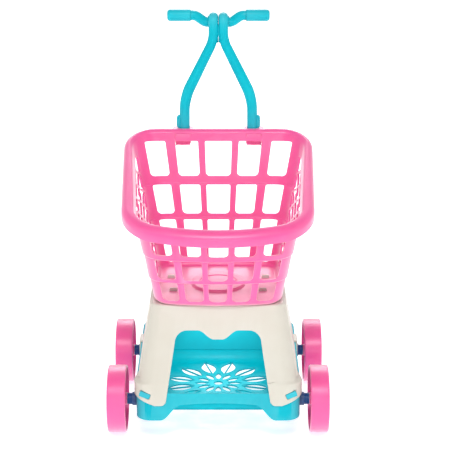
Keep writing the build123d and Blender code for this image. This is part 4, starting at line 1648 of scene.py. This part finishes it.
# --- studio ---
def add_floor():
    """A plain white paper floor that glows a little, so that shadows stay pale."""
    deselect()
    bpy.ops.mesh.primitive_plane_add(size=16, location=(0, 0, -0.2 * MM))
    floor = named_new("studio_floor")
    material, tree, shader, place = new_material("studio_paper")
    grain = ranged(tree, noise(tree, place, 3, 2), 0, 1)
    tree.links.new(mixed(tree, grain, (0.94, 0.94, 0.94), (0.90, 0.90, 0.90)),
                   shader.inputs["Base Color"])
    tree.links.new(ranged(tree, noise(tree, place, 600, 3), 0.75, 0.9),
                   shader.inputs["Roughness"])
    bumped(tree, shader, [(noise(tree, place, 900, 3), 0.1, 0.05 * MM)])
    shader.inputs["Emission Color"].default_value = (1, 1, 1, 1)
    shader.inputs["Emission Strength"].default_value = sizes("studio").floor_glow
    floor.data.materials.append(material)


def add_area_light(name, place, aim, power, side):
    """A square soft light that looks at a spot."""
    deselect()
    bpy.ops.object.light_add(type="AREA", location=place)
    light = bpy.context.object
    light.name = name
    light.data.energy = power
    light.data.size = side
    light.rotation_euler = (Vector(aim) - Vector(place)).to_track_quat("-Z", "Y").to_euler()


def add_lights():
    """Soft lights in front, at both sides, behind and under the stand's roof."""
    group = sizes("studio")
    aim = (0, 0, 0.25)
    add_area_light("key_light", (0, -1.9, 2.4), aim, group.key_power, 0.5)
    for name, side in SIDES.items():
        add_area_light(f"{name}_fill", (side * 2.2, -1.0, 1.2), aim, group.fill_power, 1.6)
    add_area_light("low_light", (0, -2.2, 0.62), (0, 0, 0.08), group.low_power, 0.8)
    below_roof = spot(0, 40 * MM, stand_top() - 26 * MM)
    add_area_light("arch_light", below_roof, spot(0, 110 * MM, 70 * MM), group.arch_power, 0.06)
    add_area_light("back_light", (0, 2.4, 1.7), aim, group.back_power, 1.6)
    world = bpy.data.worlds.new("studio_surroundings")
    world.use_nodes = True
    sky = world.node_tree.nodes["Background"]
    sky.inputs["Color"].default_value = (1, 1, 1, 1)
    sky.inputs["Strength"].default_value = group.sky
    bpy.context.scene.world = world
    bpy.context.scene.view_settings.view_transform = "Standard"


def add_camera():
    """A camera in front of the trolley that looks down on it a little."""
    group = sizes("studio")
    deselect()
    bpy.ops.object.camera_add(
        location=(group.aside, FRONT_AXLE.y - group.distance, group.height),
        rotation=(math.pi / 2 - group.pitch, 0, 0))
    camera = bpy.context.object
    camera.name = "studio_camera"
    camera.data.lens = group.lens
    camera.data.sensor_width = 36
    bpy.context.scene.camera = camera


OPERATORS = (TROLLEY_OT_basket, TROLLEY_OT_stand, TROLLEY_OT_tray, TROLLEY_OT_wheels,
             TROLLEY_OT_axle_fittings, TROLLEY_OT_handle, TROLLEY_OT_studio)


class TROLLEY_PT_pieces(Panel):
    """Lists the trolley's pieces"""
    bl_label = "Trolley"
    bl_idname = "TROLLEY_PT_pieces"
    bl_space_type = "VIEW_3D"
    bl_region_type = "UI"
    bl_category = "Trolley"

    def draw(self, context):
        for operator in OPERATORS:
            self.layout.operator(operator.bl_idname)


def register():
    """Registers the sizes, the operators and the panel."""
    for group in GROUPS.values():
        bpy.utils.register_class(group)
    for name, group in GROUPS.items():
        setattr(bpy.types.Scene, f"trolley_{name}", PointerProperty(type=group))
    for operator in OPERATORS:
        bpy.utils.register_class(operator)
    bpy.utils.register_class(TROLLEY_PT_pieces)


def unregister():
    """Takes back what register() did."""
    bpy.utils.unregister_class(TROLLEY_PT_pieces)
    for operator in reversed(OPERATORS):
        bpy.utils.unregister_class(operator)
    for name in GROUPS:
        delattr(bpy.types.Scene, f"trolley_{name}")
    for group in reversed(list(GROUPS.values())):
        bpy.utils.unregister_class(group)


def main():
    """Builds the trolley and its studio."""
    register()
    bpy.ops.trolley.basket()
    bpy.ops.trolley.stand()
    bpy.ops.trolley.tray()
    bpy.ops.trolley.wheels()
    bpy.ops.trolley.axle_fittings()
    bpy.ops.trolley.handle()
    bpy.ops.trolley.studio()


if __name__ == "__main__":
    main()
